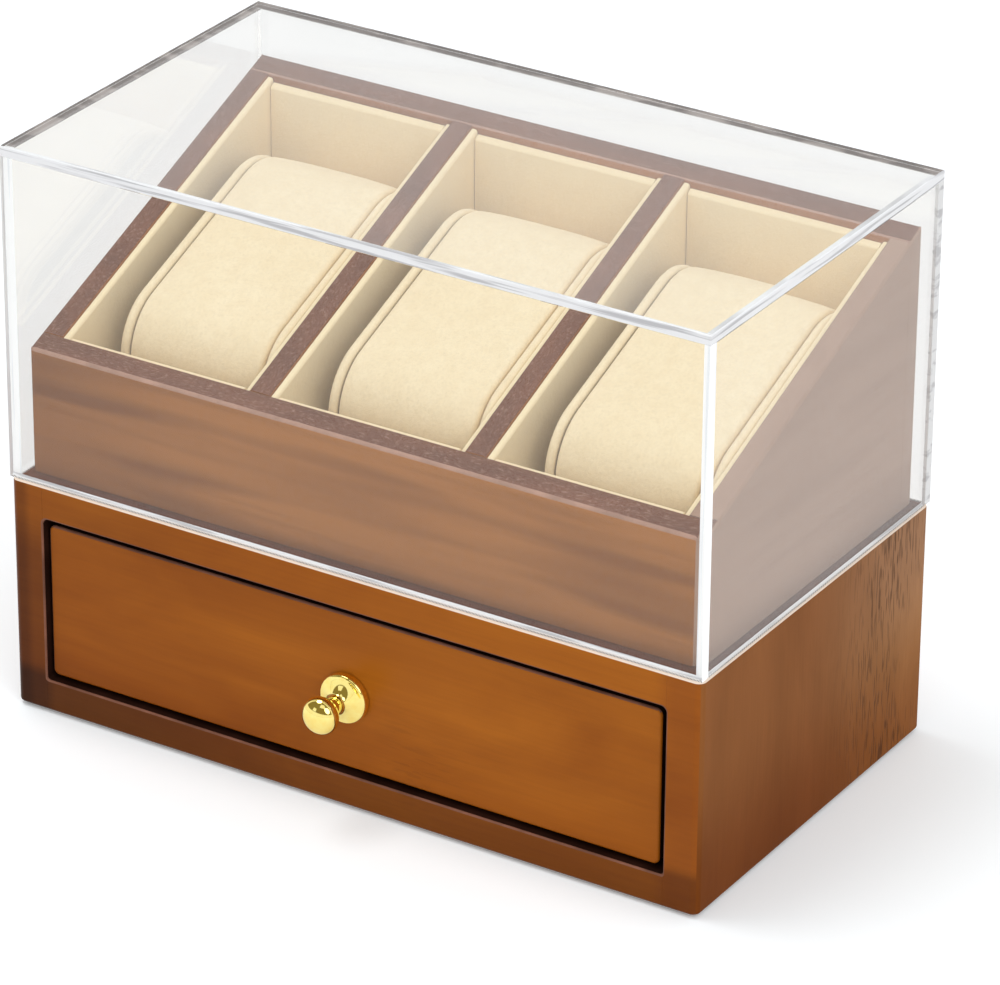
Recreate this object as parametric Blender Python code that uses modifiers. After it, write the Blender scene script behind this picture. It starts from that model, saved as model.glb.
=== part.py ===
"""Watch display case: a lacquered cabinet with a drawer, a sloping rack of watch pillows, and a clear lift-off cover.

Metres, +Z up, the front faces -Y. The origin is the middle of the underside on which the case stands.
"""

import math

import bmesh
import bpy
from mathutils import Vector

# The whole case
CASE_WIDTH = 0.230
CASE_DEPTH = 0.129
# Room left between pieces that are glued, laid or pushed against each other
SEAT_GAP = 0.0003
# How far a cutter runs past the face that it cuts
OVERRUN = 0.002

# Felt under the cabinet
FELT_THICKNESS = 0.0007
FELT_INSET = 0.0025

# Cabinet boards
SIDE_BOARD = 0.011
TOP_BOARD = 0.0105
BOTTOM_BOARD = 0.010
BACK_PANEL = 0.008
CABINET_CORNER_ROUND = 0.0025
CABINET_EDGE_ROUND = 0.001
OPENING_EDGE_ROUND = 0.0005

# Drawer
DRAWER_FRONT_HEIGHT = 0.0487
DRAWER_FRONT_THICKNESS = 0.010
DRAWER_FRONT_CORNER_ROUND = 0.002
DRAWER_FRONT_EDGE_ROUND = 0.0008
DRAWER_RECESS = 0.002
DRAWER_GAP_LEFT = 0.0009
DRAWER_GAP_RIGHT = 0.0025
DRAWER_GAP_BELOW = 0.0013
DRAWER_GAP_ABOVE = 0.0025
DRAWER_BOX_CLEARANCE = 0.0005
DRAWER_BOX_WALL = 0.006
DRAWER_BOX_DROP = 0.006
DRAWER_BOX_BACK_ROOM = 0.0015
DRAWER_BOTTOM_THICKNESS = 0.003
DRAWER_BOTTOM_RAISE = 0.001
DRAWER_LINING = 0.0012
DRAWER_BOX_EDGE_ROUND = 0.0006

# Knob, turned in brass, and the screw that holds it
KNOB_DROP = 0.0015
FLANGE_RADIUS = 0.0076
FLANGE_RIM = 0.0016
FLANGE_ROUND = 0.0009
FLARE = 0.003
NECK_RADIUS = 0.0026
BALL_RADIUS = 0.0054
BALL_HALF_THICKNESS = 0.0042
BALL_REACH = 0.0131
SCREW_RADIUS = 0.0015
SCREW_LENGTH = 0.018
SCREW_HEAD_RADIUS = 0.0032
SCREW_HEAD_THICKNESS = 0.002
SCREW_POINT = 0.001

# Rack boards, with tops that lie on one slope
RACK_BOARD = 0.0068
RACK_ROOM_LEFT = 0.0003
RACK_ROOM_RIGHT = 0.0032
RACK_ROOM_FRONT = 0.0049
RACK_ROOM_BACK = 0.0003
RACK_FRONT_HEIGHT = 0.0391
RACK_RISE = 0.0456
RACK_CORNER_ROUND = 0.0015
RACK_TOP_ROUND = 0.001
RACK_INNER_ROUND = 0.0006
SLOT_NAMES = ("left", "middle", "right")

# Slot floors and velvet linings
SLOT_FLOOR = 0.002
LINING = 0.0018
FLOOR_LINING = 0.0012
LINING_ROUND = 0.0009
LINING_DROP_NEAR = 0.0013
LINING_DROP_FAR = 0.0033

# Watch pillows
PILLOW_SIDE_ROOM = 0.0083
PILLOW_FRONT_ROOM = 0.0099
PILLOW_BACK_ROOM = 0.0048
PILLOW_TOP_DEPTH = 0.0003
PILLOW_TOP_ROUND_SHARE = 0.57
PILLOW_BOTTOM_ROUND_SHARE = 0.36
PILLOW_CROWN = 0.0008
PIPING_WIDTH = 0.003
GROOVE_WIDTH = 0.0012
GROOVE_DEPTH = 0.0016
PANEL_SINK = 0.0005

# Clear cover
SHEET = 0.003
COVER_HEADROOM = 0.0157
SHEET_CHAMFER = 0.0003

# Steps round a turned piece, along its ball and along a pillow's corners
TURN_STEPS = 40
BALL_STEPS = 12
RIM_STEPS = 3
FLARE_STEPS = 6
TOP_ARC_STEPS = 8
BOTTOM_ARC_STEPS = 5
PIPING_STEPS = 5
CROWN_SHARES = (0.0, 0.06, 0.25, 0.6)

# Heights above the surface that the case stands on
CABINET_UNDERSIDE = FELT_THICKNESS + SEAT_GAP
OPENING_BOTTOM = CABINET_UNDERSIDE + BOTTOM_BOARD
DRAWER_FRONT_BOTTOM = OPENING_BOTTOM + DRAWER_GAP_BELOW
DRAWER_FRONT_TOP = DRAWER_FRONT_BOTTOM + DRAWER_FRONT_HEIGHT
OPENING_TOP = DRAWER_FRONT_TOP + DRAWER_GAP_ABOVE
CABINET_TOP = OPENING_TOP + TOP_BOARD
RACK_BOTTOM = CABINET_TOP + SEAT_GAP
RACK_BACK_TOP = CABINET_TOP + RACK_FRONT_HEIGHT + RACK_RISE
COVER_INNER_TOP = RACK_BACK_TOP + COVER_HEADROOM
KNOB_HEIGHT = (DRAWER_FRONT_BOTTOM + DRAWER_FRONT_TOP) / 2 - KNOB_DROP

# Places from left to right and from front to back
LEFT = -CASE_WIDTH / 2
RIGHT = CASE_WIDTH / 2
FRONT = -CASE_DEPTH / 2
BACK = CASE_DEPTH / 2
INNER_LEFT = LEFT + SIDE_BOARD
INNER_RIGHT = RIGHT - SIDE_BOARD
DRAWER_FACE = FRONT + DRAWER_RECESS
DRAWER_FRONT_LEFT = INNER_LEFT + DRAWER_GAP_LEFT
DRAWER_FRONT_RIGHT = INNER_RIGHT - DRAWER_GAP_RIGHT
KNOB_PLACE = (DRAWER_FRONT_LEFT + DRAWER_FRONT_RIGHT) / 2
RACK_LEFT = LEFT + SHEET + RACK_ROOM_LEFT
RACK_RIGHT = RIGHT - SHEET - RACK_ROOM_RIGHT
RACK_FRONT = FRONT + SHEET + RACK_ROOM_FRONT
RACK_BACK = BACK - SHEET - RACK_ROOM_BACK
SLOT_FRONT = RACK_FRONT + RACK_BOARD
SLOT_BACK = RACK_BACK - RACK_BOARD
SLOT_COUNT = len(SLOT_NAMES)
SLOT_WIDTH = (RACK_RIGHT - RACK_LEFT - RACK_BOARD * (SLOT_COUNT + 1)) / SLOT_COUNT

# The slope, and depths measured straight down from it
SLOPE = RACK_RISE / (RACK_BACK - RACK_FRONT)
SLOPE_ANGLE = math.atan(SLOPE)
SLOPE_COS = math.cos(SLOPE_ANGLE)
SLOPE_SIN = math.sin(SLOPE_ANGLE)
FLOOR_BOTTOM_DEPTH = RACK_FRONT_HEIGHT + SLOPE * RACK_BOARD - 2 * SEAT_GAP
FLOOR_TOP_DEPTH = FLOOR_BOTTOM_DEPTH - SLOT_FLOOR / SLOPE_COS
FLOOR_LINING_BOTTOM_DEPTH = FLOOR_TOP_DEPTH - SEAT_GAP
FLOOR_LINING_TOP_DEPTH = FLOOR_LINING_BOTTOM_DEPTH - FLOOR_LINING / SLOPE_COS
WALL_LINING_DEPTH = FLOOR_LINING_TOP_DEPTH - SEAT_GAP

PARTS = "watch_display_case"
CUTTERS = "cutters"


def clear_scene():
    for item in list(bpy.data.objects):
        bpy.data.objects.remove(item, do_unlink=True)


def new_collection(name):
    collection = bpy.data.collections.new(name)
    bpy.context.scene.collection.children.link(collection)
    return collection


def finish_material(name, colour, roughness, metallic=0.0):
    material = bpy.data.materials.new(name)
    material.use_nodes = True
    shader = material.node_tree.nodes["Principled BSDF"]
    shader.inputs["Base Color"].default_value = (*colour, 1.0)
    shader.inputs["Roughness"].default_value = roughness
    shader.inputs["Metallic"].default_value = metallic
    return material


def lacquered_wood():
    return finish_material("lacquered_wood", (0.30, 0.095, 0.022), 0.28)


def drawer_wood():
    return finish_material("drawer_wood", (0.45, 0.30, 0.17), 0.6)


def walnut():
    return finish_material("walnut", (0.20, 0.11, 0.07), 0.45)


def velvet():
    return finish_material("velvet", (0.86, 0.77, 0.58), 0.95)


def brass():
    return finish_material("brass", (0.90, 0.68, 0.22), 0.12, 1.0)


def screw_steel():
    return finish_material("screw_steel", (0.55, 0.55, 0.57), 0.35, 1.0)


def clear_acrylic():
    material = finish_material("clear_acrylic", (0.95, 0.97, 0.97), 0.03)
    material.node_tree.nodes["Principled BSDF"].inputs["Alpha"].default_value = 0.25
    return material


def black_felt():
    return finish_material("black_felt", (0.03, 0.03, 0.03), 0.95)


def level(height):
    """A height that is the same at every depth."""
    return lambda y: height


def below_slope(depth):
    """A height that follows the rack's slope, so far straight below it."""
    return lambda y: CABINET_TOP + RACK_FRONT_HEIGHT + SLOPE * (y - RACK_FRONT) - depth


def put_in_place(piece, place, carrier):
    """Places a piece by world coordinates, under the empty that moves it, if it has one."""
    if carrier is None:
        piece.location = place
    else:
        piece.parent = carrier
        piece.location = place - carrier.location


def new_carrier(name, place, collection):
    """An empty on a joint's axis, which the moving pieces hang on."""
    carrier = bpy.data.objects.new(name, None)
    carrier.location = place
    collection.objects.link(carrier)
    return carrier


def edge_side(edge):
    """Names the side that an edge of a unit cube lies on, such as x-y- for its front left upright edge."""
    first, second = (corner.co for corner in edge.verts)
    return "".join(
        axis + ("+" if first[index] > 0 else "-")
        for index, axis in enumerate("xyz")
        if first[index] * second[index] > 0
    )


def make_board(name, x_span, y_span, bottom, top, material, collection, rounds=None, round_steps=3, carrier=None):
    """A board between two x and two y places, whose bottom and top give their height at a depth y.

    rounds gives the radius of each rounded edge by its side.
    """
    rounds = rounds or {}
    shape = bmesh.new()
    bmesh.ops.create_cube(shape, size=1)
    widest = max(rounds.values(), default=0)
    weight = shape.edges.layers.float.new("bevel_weight_edge")
    for edge in shape.edges:
        if edge_side(edge) in rounds:
            edge[weight] = rounds[edge_side(edge)] / widest
    middle_y = (y_span[0] + y_span[1]) / 2
    middle = Vector(((x_span[0] + x_span[1]) / 2, middle_y, (bottom(middle_y) + top(middle_y)) / 2))
    for corner in shape.verts:
        x = x_span[corner.co.x > 0]
        y = y_span[corner.co.y > 0]
        height = top if corner.co.z > 0 else bottom
        corner.co = Vector((x, y, height(y))) - middle
    mesh = bpy.data.meshes.new(name)
    shape.to_mesh(mesh)
    shape.free()
    mesh.materials.append(material)
    board = bpy.data.objects.new(name, mesh)
    collection.objects.link(board)
    put_in_place(board, middle, carrier)
    if rounds:
        bevel = board.modifiers.new("Rounded edges", "BEVEL")
        bevel.limit_method = "WEIGHT"
        bevel.width = widest
        bevel.segments = round_steps
    return board


def make_turned(name, profile, place, material, collection, carrier=None):
    """A piece turned about an axis that points to the front. The profile runs from the front tip down the outside."""
    mesh = bpy.data.meshes.new(name)
    shape = bmesh.new()
    corners = [shape.verts.new((radius, 0, reach)) for radius, reach in profile]
    for start, end in zip(corners, corners[1:]):
        shape.edges.new((start, end))
    shape.to_mesh(mesh)
    shape.free()
    mesh.materials.append(material)
    piece = bpy.data.objects.new(name, mesh)
    collection.objects.link(piece)
    piece.rotation_euler.x = math.pi / 2
    put_in_place(piece, place, carrier)
    turn = piece.modifiers.new("Turned", "SCREW")
    turn.steps = TURN_STEPS
    turn.render_steps = TURN_STEPS
    turn.use_merge_vertices = True
    turn.merge_threshold = SEAT_GAP / 30
    turn.use_smooth_shade = True
    return piece


def cut_round_hole(piece, radius, start, end, collection):
    """Cuts a hole along Y from one point to another."""
    mesh = bpy.data.meshes.new(piece.name + "_hole")
    shape = bmesh.new()
    bmesh.ops.create_cone(
        shape, cap_ends=True, segments=TURN_STEPS, radius1=radius, radius2=radius, depth=(end - start).length
    )
    shape.to_mesh(mesh)
    shape.free()
    cutter = bpy.data.objects.new(piece.name + "_hole", mesh)
    collection.objects.link(cutter)
    cutter.rotation_euler.x = math.pi / 2
    cutter.location = (start + end) / 2
    cutter.hide_render = True
    cutter.display_type = "WIRE"
    cut = piece.modifiers.new("Screw hole", "BOOLEAN")
    cut.operation = "DIFFERENCE"
    cut.object = cutter


def make_base_felt(parts):
    make_board(
        "base_felt",
        (LEFT + FELT_INSET, RIGHT - FELT_INSET),
        (FRONT + FELT_INSET, BACK - FELT_INSET),
        level(0),
        level(FELT_THICKNESS),
        black_felt(),
        parts,
    )


def make_cabinet(parts):
    """Two sides of full height, with the top board, the bottom board and the back panel between them."""
    wood = lacquered_wood()
    side_names = {"-": "cabinet_left_side", "+": "cabinet_right_side"}
    spans = {"-": (LEFT, INNER_LEFT), "+": (INNER_RIGHT, RIGHT)}
    for outer, inner in (("-", "+"), ("+", "-")):
        rounds = {
            f"x{outer}y-": CABINET_CORNER_ROUND,
            f"x{outer}y+": CABINET_CORNER_ROUND,
            f"x{inner}y-": OPENING_EDGE_ROUND,
        }
        for edge in (f"x{outer}z+", "y-z+", "y+z+", f"x{outer}z-", "y-z-", "y+z-"):
            rounds[edge] = CABINET_EDGE_ROUND
        make_board(
            side_names[outer],
            spans[outer],
            (FRONT, BACK),
            level(CABINET_UNDERSIDE),
            level(CABINET_TOP),
            wood,
            parts,
            rounds,
            round_steps=4,
        )
    between = (INNER_LEFT + SEAT_GAP, INNER_RIGHT - SEAT_GAP)
    make_board(
        "cabinet_top_board",
        between,
        (FRONT, BACK),
        level(OPENING_TOP),
        level(CABINET_TOP),
        wood,
        parts,
        {"y-z+": CABINET_EDGE_ROUND, "y+z+": CABINET_EDGE_ROUND, "y-z-": OPENING_EDGE_ROUND},
    )
    make_board(
        "cabinet_bottom_board",
        between,
        (FRONT, BACK),
        level(CABINET_UNDERSIDE),
        level(OPENING_BOTTOM),
        wood,
        parts,
        {"y-z-": CABINET_EDGE_ROUND, "y+z-": CABINET_EDGE_ROUND, "y-z+": OPENING_EDGE_ROUND},
    )
    make_board(
        "cabinet_back_panel",
        between,
        (BACK - BACK_PANEL, BACK),
        level(OPENING_BOTTOM + SEAT_GAP),
        level(OPENING_TOP - SEAT_GAP),
        wood,
        parts,
    )


def make_drawer_front(parts, cutters, carrier):
    rounds = {edge: DRAWER_FRONT_CORNER_ROUND for edge in ("x-z-", "x-z+", "x+z-", "x+z+")}
    rounds.update({edge: DRAWER_FRONT_EDGE_ROUND for edge in ("x-y-", "x+y-", "y-z-", "y-z+")})
    front = make_board(
        "drawer_front",
        (DRAWER_FRONT_LEFT, DRAWER_FRONT_RIGHT),
        (DRAWER_FACE, DRAWER_FACE + DRAWER_FRONT_THICKNESS),
        level(DRAWER_FRONT_BOTTOM),
        level(DRAWER_FRONT_TOP),
        lacquered_wood(),
        parts,
        rounds,
        round_steps=4,
        carrier=carrier,
    )
    cut_round_hole(
        front,
        SCREW_RADIUS + SEAT_GAP,
        Vector((KNOB_PLACE, DRAWER_FACE - OVERRUN, KNOB_HEIGHT)),
        Vector((KNOB_PLACE, DRAWER_FACE + DRAWER_FRONT_THICKNESS + OVERRUN, KNOB_HEIGHT)),
        cutters,
    )


def make_drawer_box(parts, carrier):
    """Sides, back and bottom behind the drawer front, and the velvet sheet on the bottom."""
    wood = drawer_wood()
    front = DRAWER_FACE + DRAWER_FRONT_THICKNESS + SEAT_GAP
    back = BACK - BACK_PANEL - DRAWER_BOX_BACK_ROOM
    left = INNER_LEFT + DRAWER_BOX_CLEARANCE
    right = INNER_RIGHT - DRAWER_BOX_CLEARANCE
    bottom = OPENING_BOTTOM + SEAT_GAP
    top = DRAWER_FRONT_TOP - DRAWER_BOX_DROP
    rounded_top = {edge: DRAWER_BOX_EDGE_ROUND for edge in ("x-z+", "x+z+")}
    for name, span in (
        ("drawer_left_side", (left, left + DRAWER_BOX_WALL)),
        ("drawer_right_side", (right - DRAWER_BOX_WALL, right)),
    ):
        make_board(
            name, span, (front, back), level(bottom), level(top), wood, parts, rounded_top, 2, carrier
        )
    between = (left + DRAWER_BOX_WALL + SEAT_GAP, right - DRAWER_BOX_WALL - SEAT_GAP)
    make_board(
        "drawer_back",
        between,
        (back - DRAWER_BOX_WALL, back),
        level(bottom),
        level(top),
        wood,
        parts,
        {edge: DRAWER_BOX_EDGE_ROUND for edge in ("y-z+", "y+z+")},
        2,
        carrier,
    )
    floor_bottom = bottom + DRAWER_BOTTOM_RAISE
    floor_top = floor_bottom + DRAWER_BOTTOM_THICKNESS
    floor_depth = (front, back - DRAWER_BOX_WALL - SEAT_GAP)
    make_board(
        "drawer_bottom", between, floor_depth, level(floor_bottom), level(floor_top), wood, parts, carrier=carrier
    )
    make_board(
        "drawer_floor_lining",
        between,
        floor_depth,
        level(floor_top + SEAT_GAP),
        level(floor_top + SEAT_GAP + DRAWER_LINING),
        velvet(),
        parts,
        carrier=carrier,
    )


def knob_profile():
    """Flattened ball, neck and flared flange, and the blind hole for the screw. Reach is from the flange's back."""
    neck_angle = -math.acos(NECK_RADIUS / BALL_RADIUS)
    ball = [(0, BALL_REACH + BALL_HALF_THICKNESS)]
    for step in range(1, BALL_STEPS + 1):
        angle = math.pi / 2 + (neck_angle - math.pi / 2) * step / BALL_STEPS
        ball.append((BALL_RADIUS * math.cos(angle), BALL_REACH + BALL_HALF_THICKNESS * math.sin(angle)))
    flange_front = FLANGE_RIM + FLANGE_ROUND
    flare_width = FLANGE_RADIUS - FLANGE_ROUND - NECK_RADIUS
    flare = []
    for step in range(FLARE_STEPS):
        share = step / FLARE_STEPS
        flare.append((NECK_RADIUS + flare_width * share**2, flange_front + FLARE * (1 - share)))
    rim = []
    for step in range(RIM_STEPS + 1):
        angle = math.pi / 2 * (1 - step / RIM_STEPS)
        rim.append(
            (
                FLANGE_RADIUS - FLANGE_ROUND + FLANGE_ROUND * math.cos(angle),
                FLANGE_RIM + FLANGE_ROUND * math.sin(angle),
            )
        )
    hole_radius = SCREW_RADIUS + SEAT_GAP
    hole_depth = SCREW_LENGTH - DRAWER_FRONT_THICKNESS + SEAT_GAP
    back = [(FLANGE_RADIUS, 0), (hole_radius, 0), (hole_radius, hole_depth), (0, hole_depth)]
    return ball + flare + rim + back


def screw_profile():
    """Shank with a short point, and a flat head. Reach is measured from under the head."""
    return [
        (0, SCREW_LENGTH - SEAT_GAP),
        (SCREW_RADIUS - SCREW_POINT, SCREW_LENGTH - SEAT_GAP),
        (SCREW_RADIUS, SCREW_LENGTH - SCREW_POINT),
        (SCREW_RADIUS, 0),
        (SCREW_HEAD_RADIUS, 0),
        (SCREW_HEAD_RADIUS, -SCREW_HEAD_THICKNESS / 2),
        (SCREW_HEAD_RADIUS - SCREW_HEAD_THICKNESS / 2, -SCREW_HEAD_THICKNESS),
        (0, -SCREW_HEAD_THICKNESS),
    ]


def make_knob(parts, carrier):
    flange_back = Vector((KNOB_PLACE, DRAWER_FACE - SEAT_GAP, KNOB_HEIGHT))
    make_turned("knob", knob_profile(), flange_back, brass(), parts, carrier)
    under_head = Vector((KNOB_PLACE, DRAWER_FACE + DRAWER_FRONT_THICKNESS + SEAT_GAP, KNOB_HEIGHT))
    make_turned("knob_screw", screw_profile(), under_head, screw_steel(), parts, carrier)


def slot_span(index):
    """The left and right wall of a slot."""
    left = RACK_LEFT + RACK_BOARD + index * (SLOT_WIDTH + RACK_BOARD)
    return left, left + SLOT_WIDTH


def make_rack(parts):
    """Front and back of full width, with the two sides and the dividers between them, all cut to the slope."""
    wood = walnut()
    bottom = level(RACK_BOTTOM)
    top = below_slope(0)
    make_board(
        "rack_front",
        (RACK_LEFT, RACK_RIGHT),
        (RACK_FRONT, SLOT_FRONT),
        bottom,
        top,
        wood,
        parts,
        {
            "x-y-": RACK_CORNER_ROUND,
            "x+y-": RACK_CORNER_ROUND,
            "x-z+": RACK_TOP_ROUND,
            "x+z+": RACK_TOP_ROUND,
            "y-z+": RACK_TOP_ROUND,
            "y+z+": RACK_INNER_ROUND,
        },
    )
    make_board(
        "rack_back",
        (RACK_LEFT, RACK_RIGHT),
        (SLOT_BACK, RACK_BACK),
        bottom,
        top,
        wood,
        parts,
        {
            "x-y+": RACK_CORNER_ROUND,
            "x+y+": RACK_CORNER_ROUND,
            "x-z+": RACK_TOP_ROUND,
            "x+z+": RACK_TOP_ROUND,
            "y+z+": RACK_TOP_ROUND,
            "y-z+": RACK_INNER_ROUND,
        },
    )
    between = (SLOT_FRONT + SEAT_GAP, SLOT_BACK - SEAT_GAP)
    make_board(
        "rack_left_side",
        (RACK_LEFT, RACK_LEFT + RACK_BOARD),
        between,
        bottom,
        top,
        wood,
        parts,
        {"x-z+": RACK_TOP_ROUND, "x+z+": RACK_INNER_ROUND},
    )
    make_board(
        "rack_right_side",
        (RACK_RIGHT - RACK_BOARD, RACK_RIGHT),
        between,
        bottom,
        top,
        wood,
        parts,
        {"x+z+": RACK_TOP_ROUND, "x-z+": RACK_INNER_ROUND},
    )
    for index in range(1, SLOT_COUNT):
        left = slot_span(index)[0] - RACK_BOARD
        make_board(
            f"rack_divider_{index}",
            (left, left + RACK_BOARD),
            between,
            bottom,
            top,
            wood,
            parts,
            {"x-z+": RACK_INNER_ROUND, "x+z+": RACK_INNER_ROUND},
        )


def make_slot_floor(slot, span, parts, wood):
    """A thin sloping board at the bottom of a slot, which just clears the cabinet's top at the front."""
    make_board(
        f"{slot}_slot_floor",
        (span[0] + SEAT_GAP, span[1] - SEAT_GAP),
        (SLOT_FRONT + SEAT_GAP, SLOT_BACK - SEAT_GAP),
        below_slope(FLOOR_BOTTOM_DEPTH),
        below_slope(FLOOR_TOP_DEPTH),
        wood,
        parts,
    )


def make_slot_linings(slot, span, parts, cloth):
    """Velvet sheets on the floor and the four walls. Those nearer to the photograph's view reach higher up the wall."""
    left = span[0] + SEAT_GAP
    right = span[1] - SEAT_GAP
    front = SLOT_FRONT + SEAT_GAP
    back = SLOT_BACK - SEAT_GAP
    make_board(
        f"{slot}_slot_floor_lining",
        (left, right),
        (front, back),
        below_slope(FLOOR_LINING_BOTTOM_DEPTH),
        below_slope(FLOOR_LINING_TOP_DEPTH),
        cloth,
        parts,
    )
    bottom = below_slope(WALL_LINING_DEPTH)
    between = (left + LINING + SEAT_GAP, right - LINING - SEAT_GAP)
    walls = (
        ("left", (left, left + LINING), (front, back), LINING_DROP_FAR, "x+z+"),
        ("right", (right - LINING, right), (front, back), LINING_DROP_NEAR, "x-z+"),
        ("front", between, (front, front + LINING), LINING_DROP_NEAR, "y+z+"),
        ("back", between, (back - LINING, back), LINING_DROP_FAR, "y-z+"),
    )
    for wall, x_span, y_span, drop, rounded in walls:
        make_board(
            f"{slot}_slot_{wall}_lining",
            x_span,
            y_span,
            bottom,
            below_slope(drop),
            cloth,
            parts,
            {rounded: LINING_ROUND},
        )


def pillow_corners():
    """Middle and radius of a pillow section's four round corners, along and square to the slope, and its middle.

    The section's front touches the slot's front room at its top corner, and its back at its bottom corner.
    """
    thickness = (FLOOR_LINING_TOP_DEPTH - SEAT_GAP) * SLOPE_COS - PILLOW_TOP_DEPTH
    top_round = PILLOW_TOP_ROUND_SHARE * thickness
    bottom_round = PILLOW_BOTTOM_ROUND_SHARE * thickness
    top_depth = PILLOW_TOP_DEPTH + top_round
    bottom_depth = PILLOW_TOP_DEPTH + thickness - bottom_round
    lined_front = SLOT_FRONT + SEAT_GAP + LINING - RACK_FRONT
    lined_back = SLOT_BACK - SEAT_GAP - LINING - RACK_FRONT
    front_place = lined_front + PILLOW_FRONT_ROOM + top_round
    back_place = lined_back - PILLOW_BACK_ROOM - bottom_round
    start = (front_place - top_depth * SLOPE_SIN) / SLOPE_COS - top_round
    end = (back_place - bottom_depth * SLOPE_SIN) / SLOPE_COS + bottom_round
    corners = (
        (end - top_round, -top_depth, top_round, 0, TOP_ARC_STEPS),
        (start + top_round, -top_depth, top_round, math.pi / 2, TOP_ARC_STEPS),
        (start + bottom_round, -bottom_depth, bottom_round, math.pi, BOTTOM_ARC_STEPS),
        (end - bottom_round, -bottom_depth, bottom_round, math.pi * 1.5, BOTTOM_ARC_STEPS),
    )
    middle = ((start + end) / 2, -(PILLOW_TOP_DEPTH + thickness / 2))
    return corners, middle


def pillow_stations(width):
    """Places across a pillow, each with how far its section is drawn in there: end panel, piping, groove, crowned band."""
    piping_round = PIPING_WIDTH / 2
    half = [(0, PILLOW_CROWN + 3 * PIPING_WIDTH), (PANEL_SINK, PILLOW_CROWN + PIPING_WIDTH)]
    for step in range(PIPING_STEPS + 1):
        angle = math.pi * (1 - step / (PIPING_STEPS + 1))
        place = PANEL_SINK + piping_round + piping_round * math.cos(angle)
        half.append((place, PILLOW_CROWN + piping_round - piping_round * math.sin(angle)))
    band_start = PANEL_SINK + PIPING_WIDTH + GROOVE_WIDTH / 2
    half.append((PANEL_SINK + PIPING_WIDTH, PILLOW_CROWN + GROOVE_DEPTH))
    for share in CROWN_SHARES:
        place = band_start + (width / 2 - band_start) * share
        half.append((place, PILLOW_CROWN * (1 - share) ** 2))
    left = [(place - width / 2, inset) for place, inset in half]
    right = [(-place, inset) for place, inset in reversed(left)]
    return left + [(0, 0)] + right


def make_pillow(slot, span, parts, cloth):
    """A round-cornered roll across the slot, lofted through its stations, with closed end panels."""
    corners, middle = pillow_corners()
    right = span[1] - SEAT_GAP - LINING - SEAT_GAP
    left = span[0] + SEAT_GAP + LINING + PILLOW_SIDE_ROOM
    shape = bmesh.new()
    rings = []
    for place, inset in pillow_stations(right - left):
        ring = []
        for corner_along, corner_up, radius, start, steps in corners:
            for step in range(steps + 1):
                angle = start + math.pi / 2 * step / steps
                along = corner_along + (radius - inset) * math.cos(angle) - middle[0]
                up = corner_up + (radius - inset) * math.sin(angle) - middle[1]
                ring.append(shape.verts.new((place, along, up)))
        rings.append([shape.edges.new(pair) for pair in zip(ring, ring[1:] + ring[:1])])
    for ring, after in zip(rings, rings[1:]):
        bmesh.ops.bridge_loops(shape, edges=ring + after)
    bmesh.ops.contextual_create(shape, geom=rings[0])
    bmesh.ops.contextual_create(shape, geom=rings[-1])
    bmesh.ops.recalc_face_normals(shape, faces=shape.faces)
    mesh = bpy.data.meshes.new(f"{slot}_watch_pillow")
    shape.to_mesh(mesh)
    shape.free()
    mesh.shade_smooth()
    mesh.materials.append(cloth)
    pillow = bpy.data.objects.new(f"{slot}_watch_pillow", mesh)
    parts.objects.link(pillow)
    pillow.rotation_euler.x = SLOPE_ANGLE
    depth = RACK_FRONT + middle[0] * SLOPE_COS - middle[1] * SLOPE_SIN
    height = CABINET_TOP + RACK_FRONT_HEIGHT + middle[0] * SLOPE_SIN + middle[1] * SLOPE_COS
    pillow.location = ((left + right) / 2, depth, height)


def make_slots(parts):
    wood = walnut()
    cloth = velvet()
    for index, slot in enumerate(SLOT_NAMES):
        span = slot_span(index)
        make_slot_floor(slot, span, parts, wood)
        make_slot_linings(slot, span, parts, cloth)
        make_pillow(slot, span, parts, cloth)


def make_cover(parts):
    """Five sheets glued at their edges: the top lies on the others, and the two ends stand between front and back."""
    acrylic = clear_acrylic()
    bottom = level(CABINET_TOP + SEAT_GAP)
    under_top = level(COVER_INNER_TOP - SEAT_GAP)
    carrier = new_carrier("cover_lift_axis", Vector((0, 0, CABINET_TOP)), parts)
    top_edges = {edge: SHEET_CHAMFER for edge in ("x-z+", "x+z+", "y-z+", "y+z+")}
    make_board(
        "cover_top",
        (LEFT, RIGHT),
        (FRONT, BACK),
        level(COVER_INNER_TOP),
        level(COVER_INNER_TOP + SHEET),
        acrylic,
        parts,
        top_edges,
        1,
        carrier,
    )
    for name, y_span in (("cover_front", (FRONT, FRONT + SHEET)), ("cover_back", (BACK - SHEET, BACK))):
        make_board(name, (LEFT, RIGHT), y_span, bottom, under_top, acrylic, parts, carrier=carrier)
    between = (FRONT + SHEET + SEAT_GAP, BACK - SHEET - SEAT_GAP)
    for name, x_span in (("cover_left", (LEFT, LEFT + SHEET)), ("cover_right", (RIGHT - SHEET, RIGHT))):
        make_board(name, x_span, between, bottom, under_top, acrylic, parts, carrier=carrier)


def build():
    clear_scene()
    parts = new_collection(PARTS)
    cutters = new_collection(CUTTERS)
    make_base_felt(parts)
    make_cabinet(parts)
    drawer = new_carrier("drawer_slide_axis", Vector((KNOB_PLACE, DRAWER_FACE, KNOB_HEIGHT)), parts)
    make_drawer_front(parts, cutters, drawer)
    make_drawer_box(parts, drawer)
    make_knob(parts, drawer)
    make_rack(parts)
    make_slots(parts)
    make_cover(parts)


build()
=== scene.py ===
import math

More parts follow.
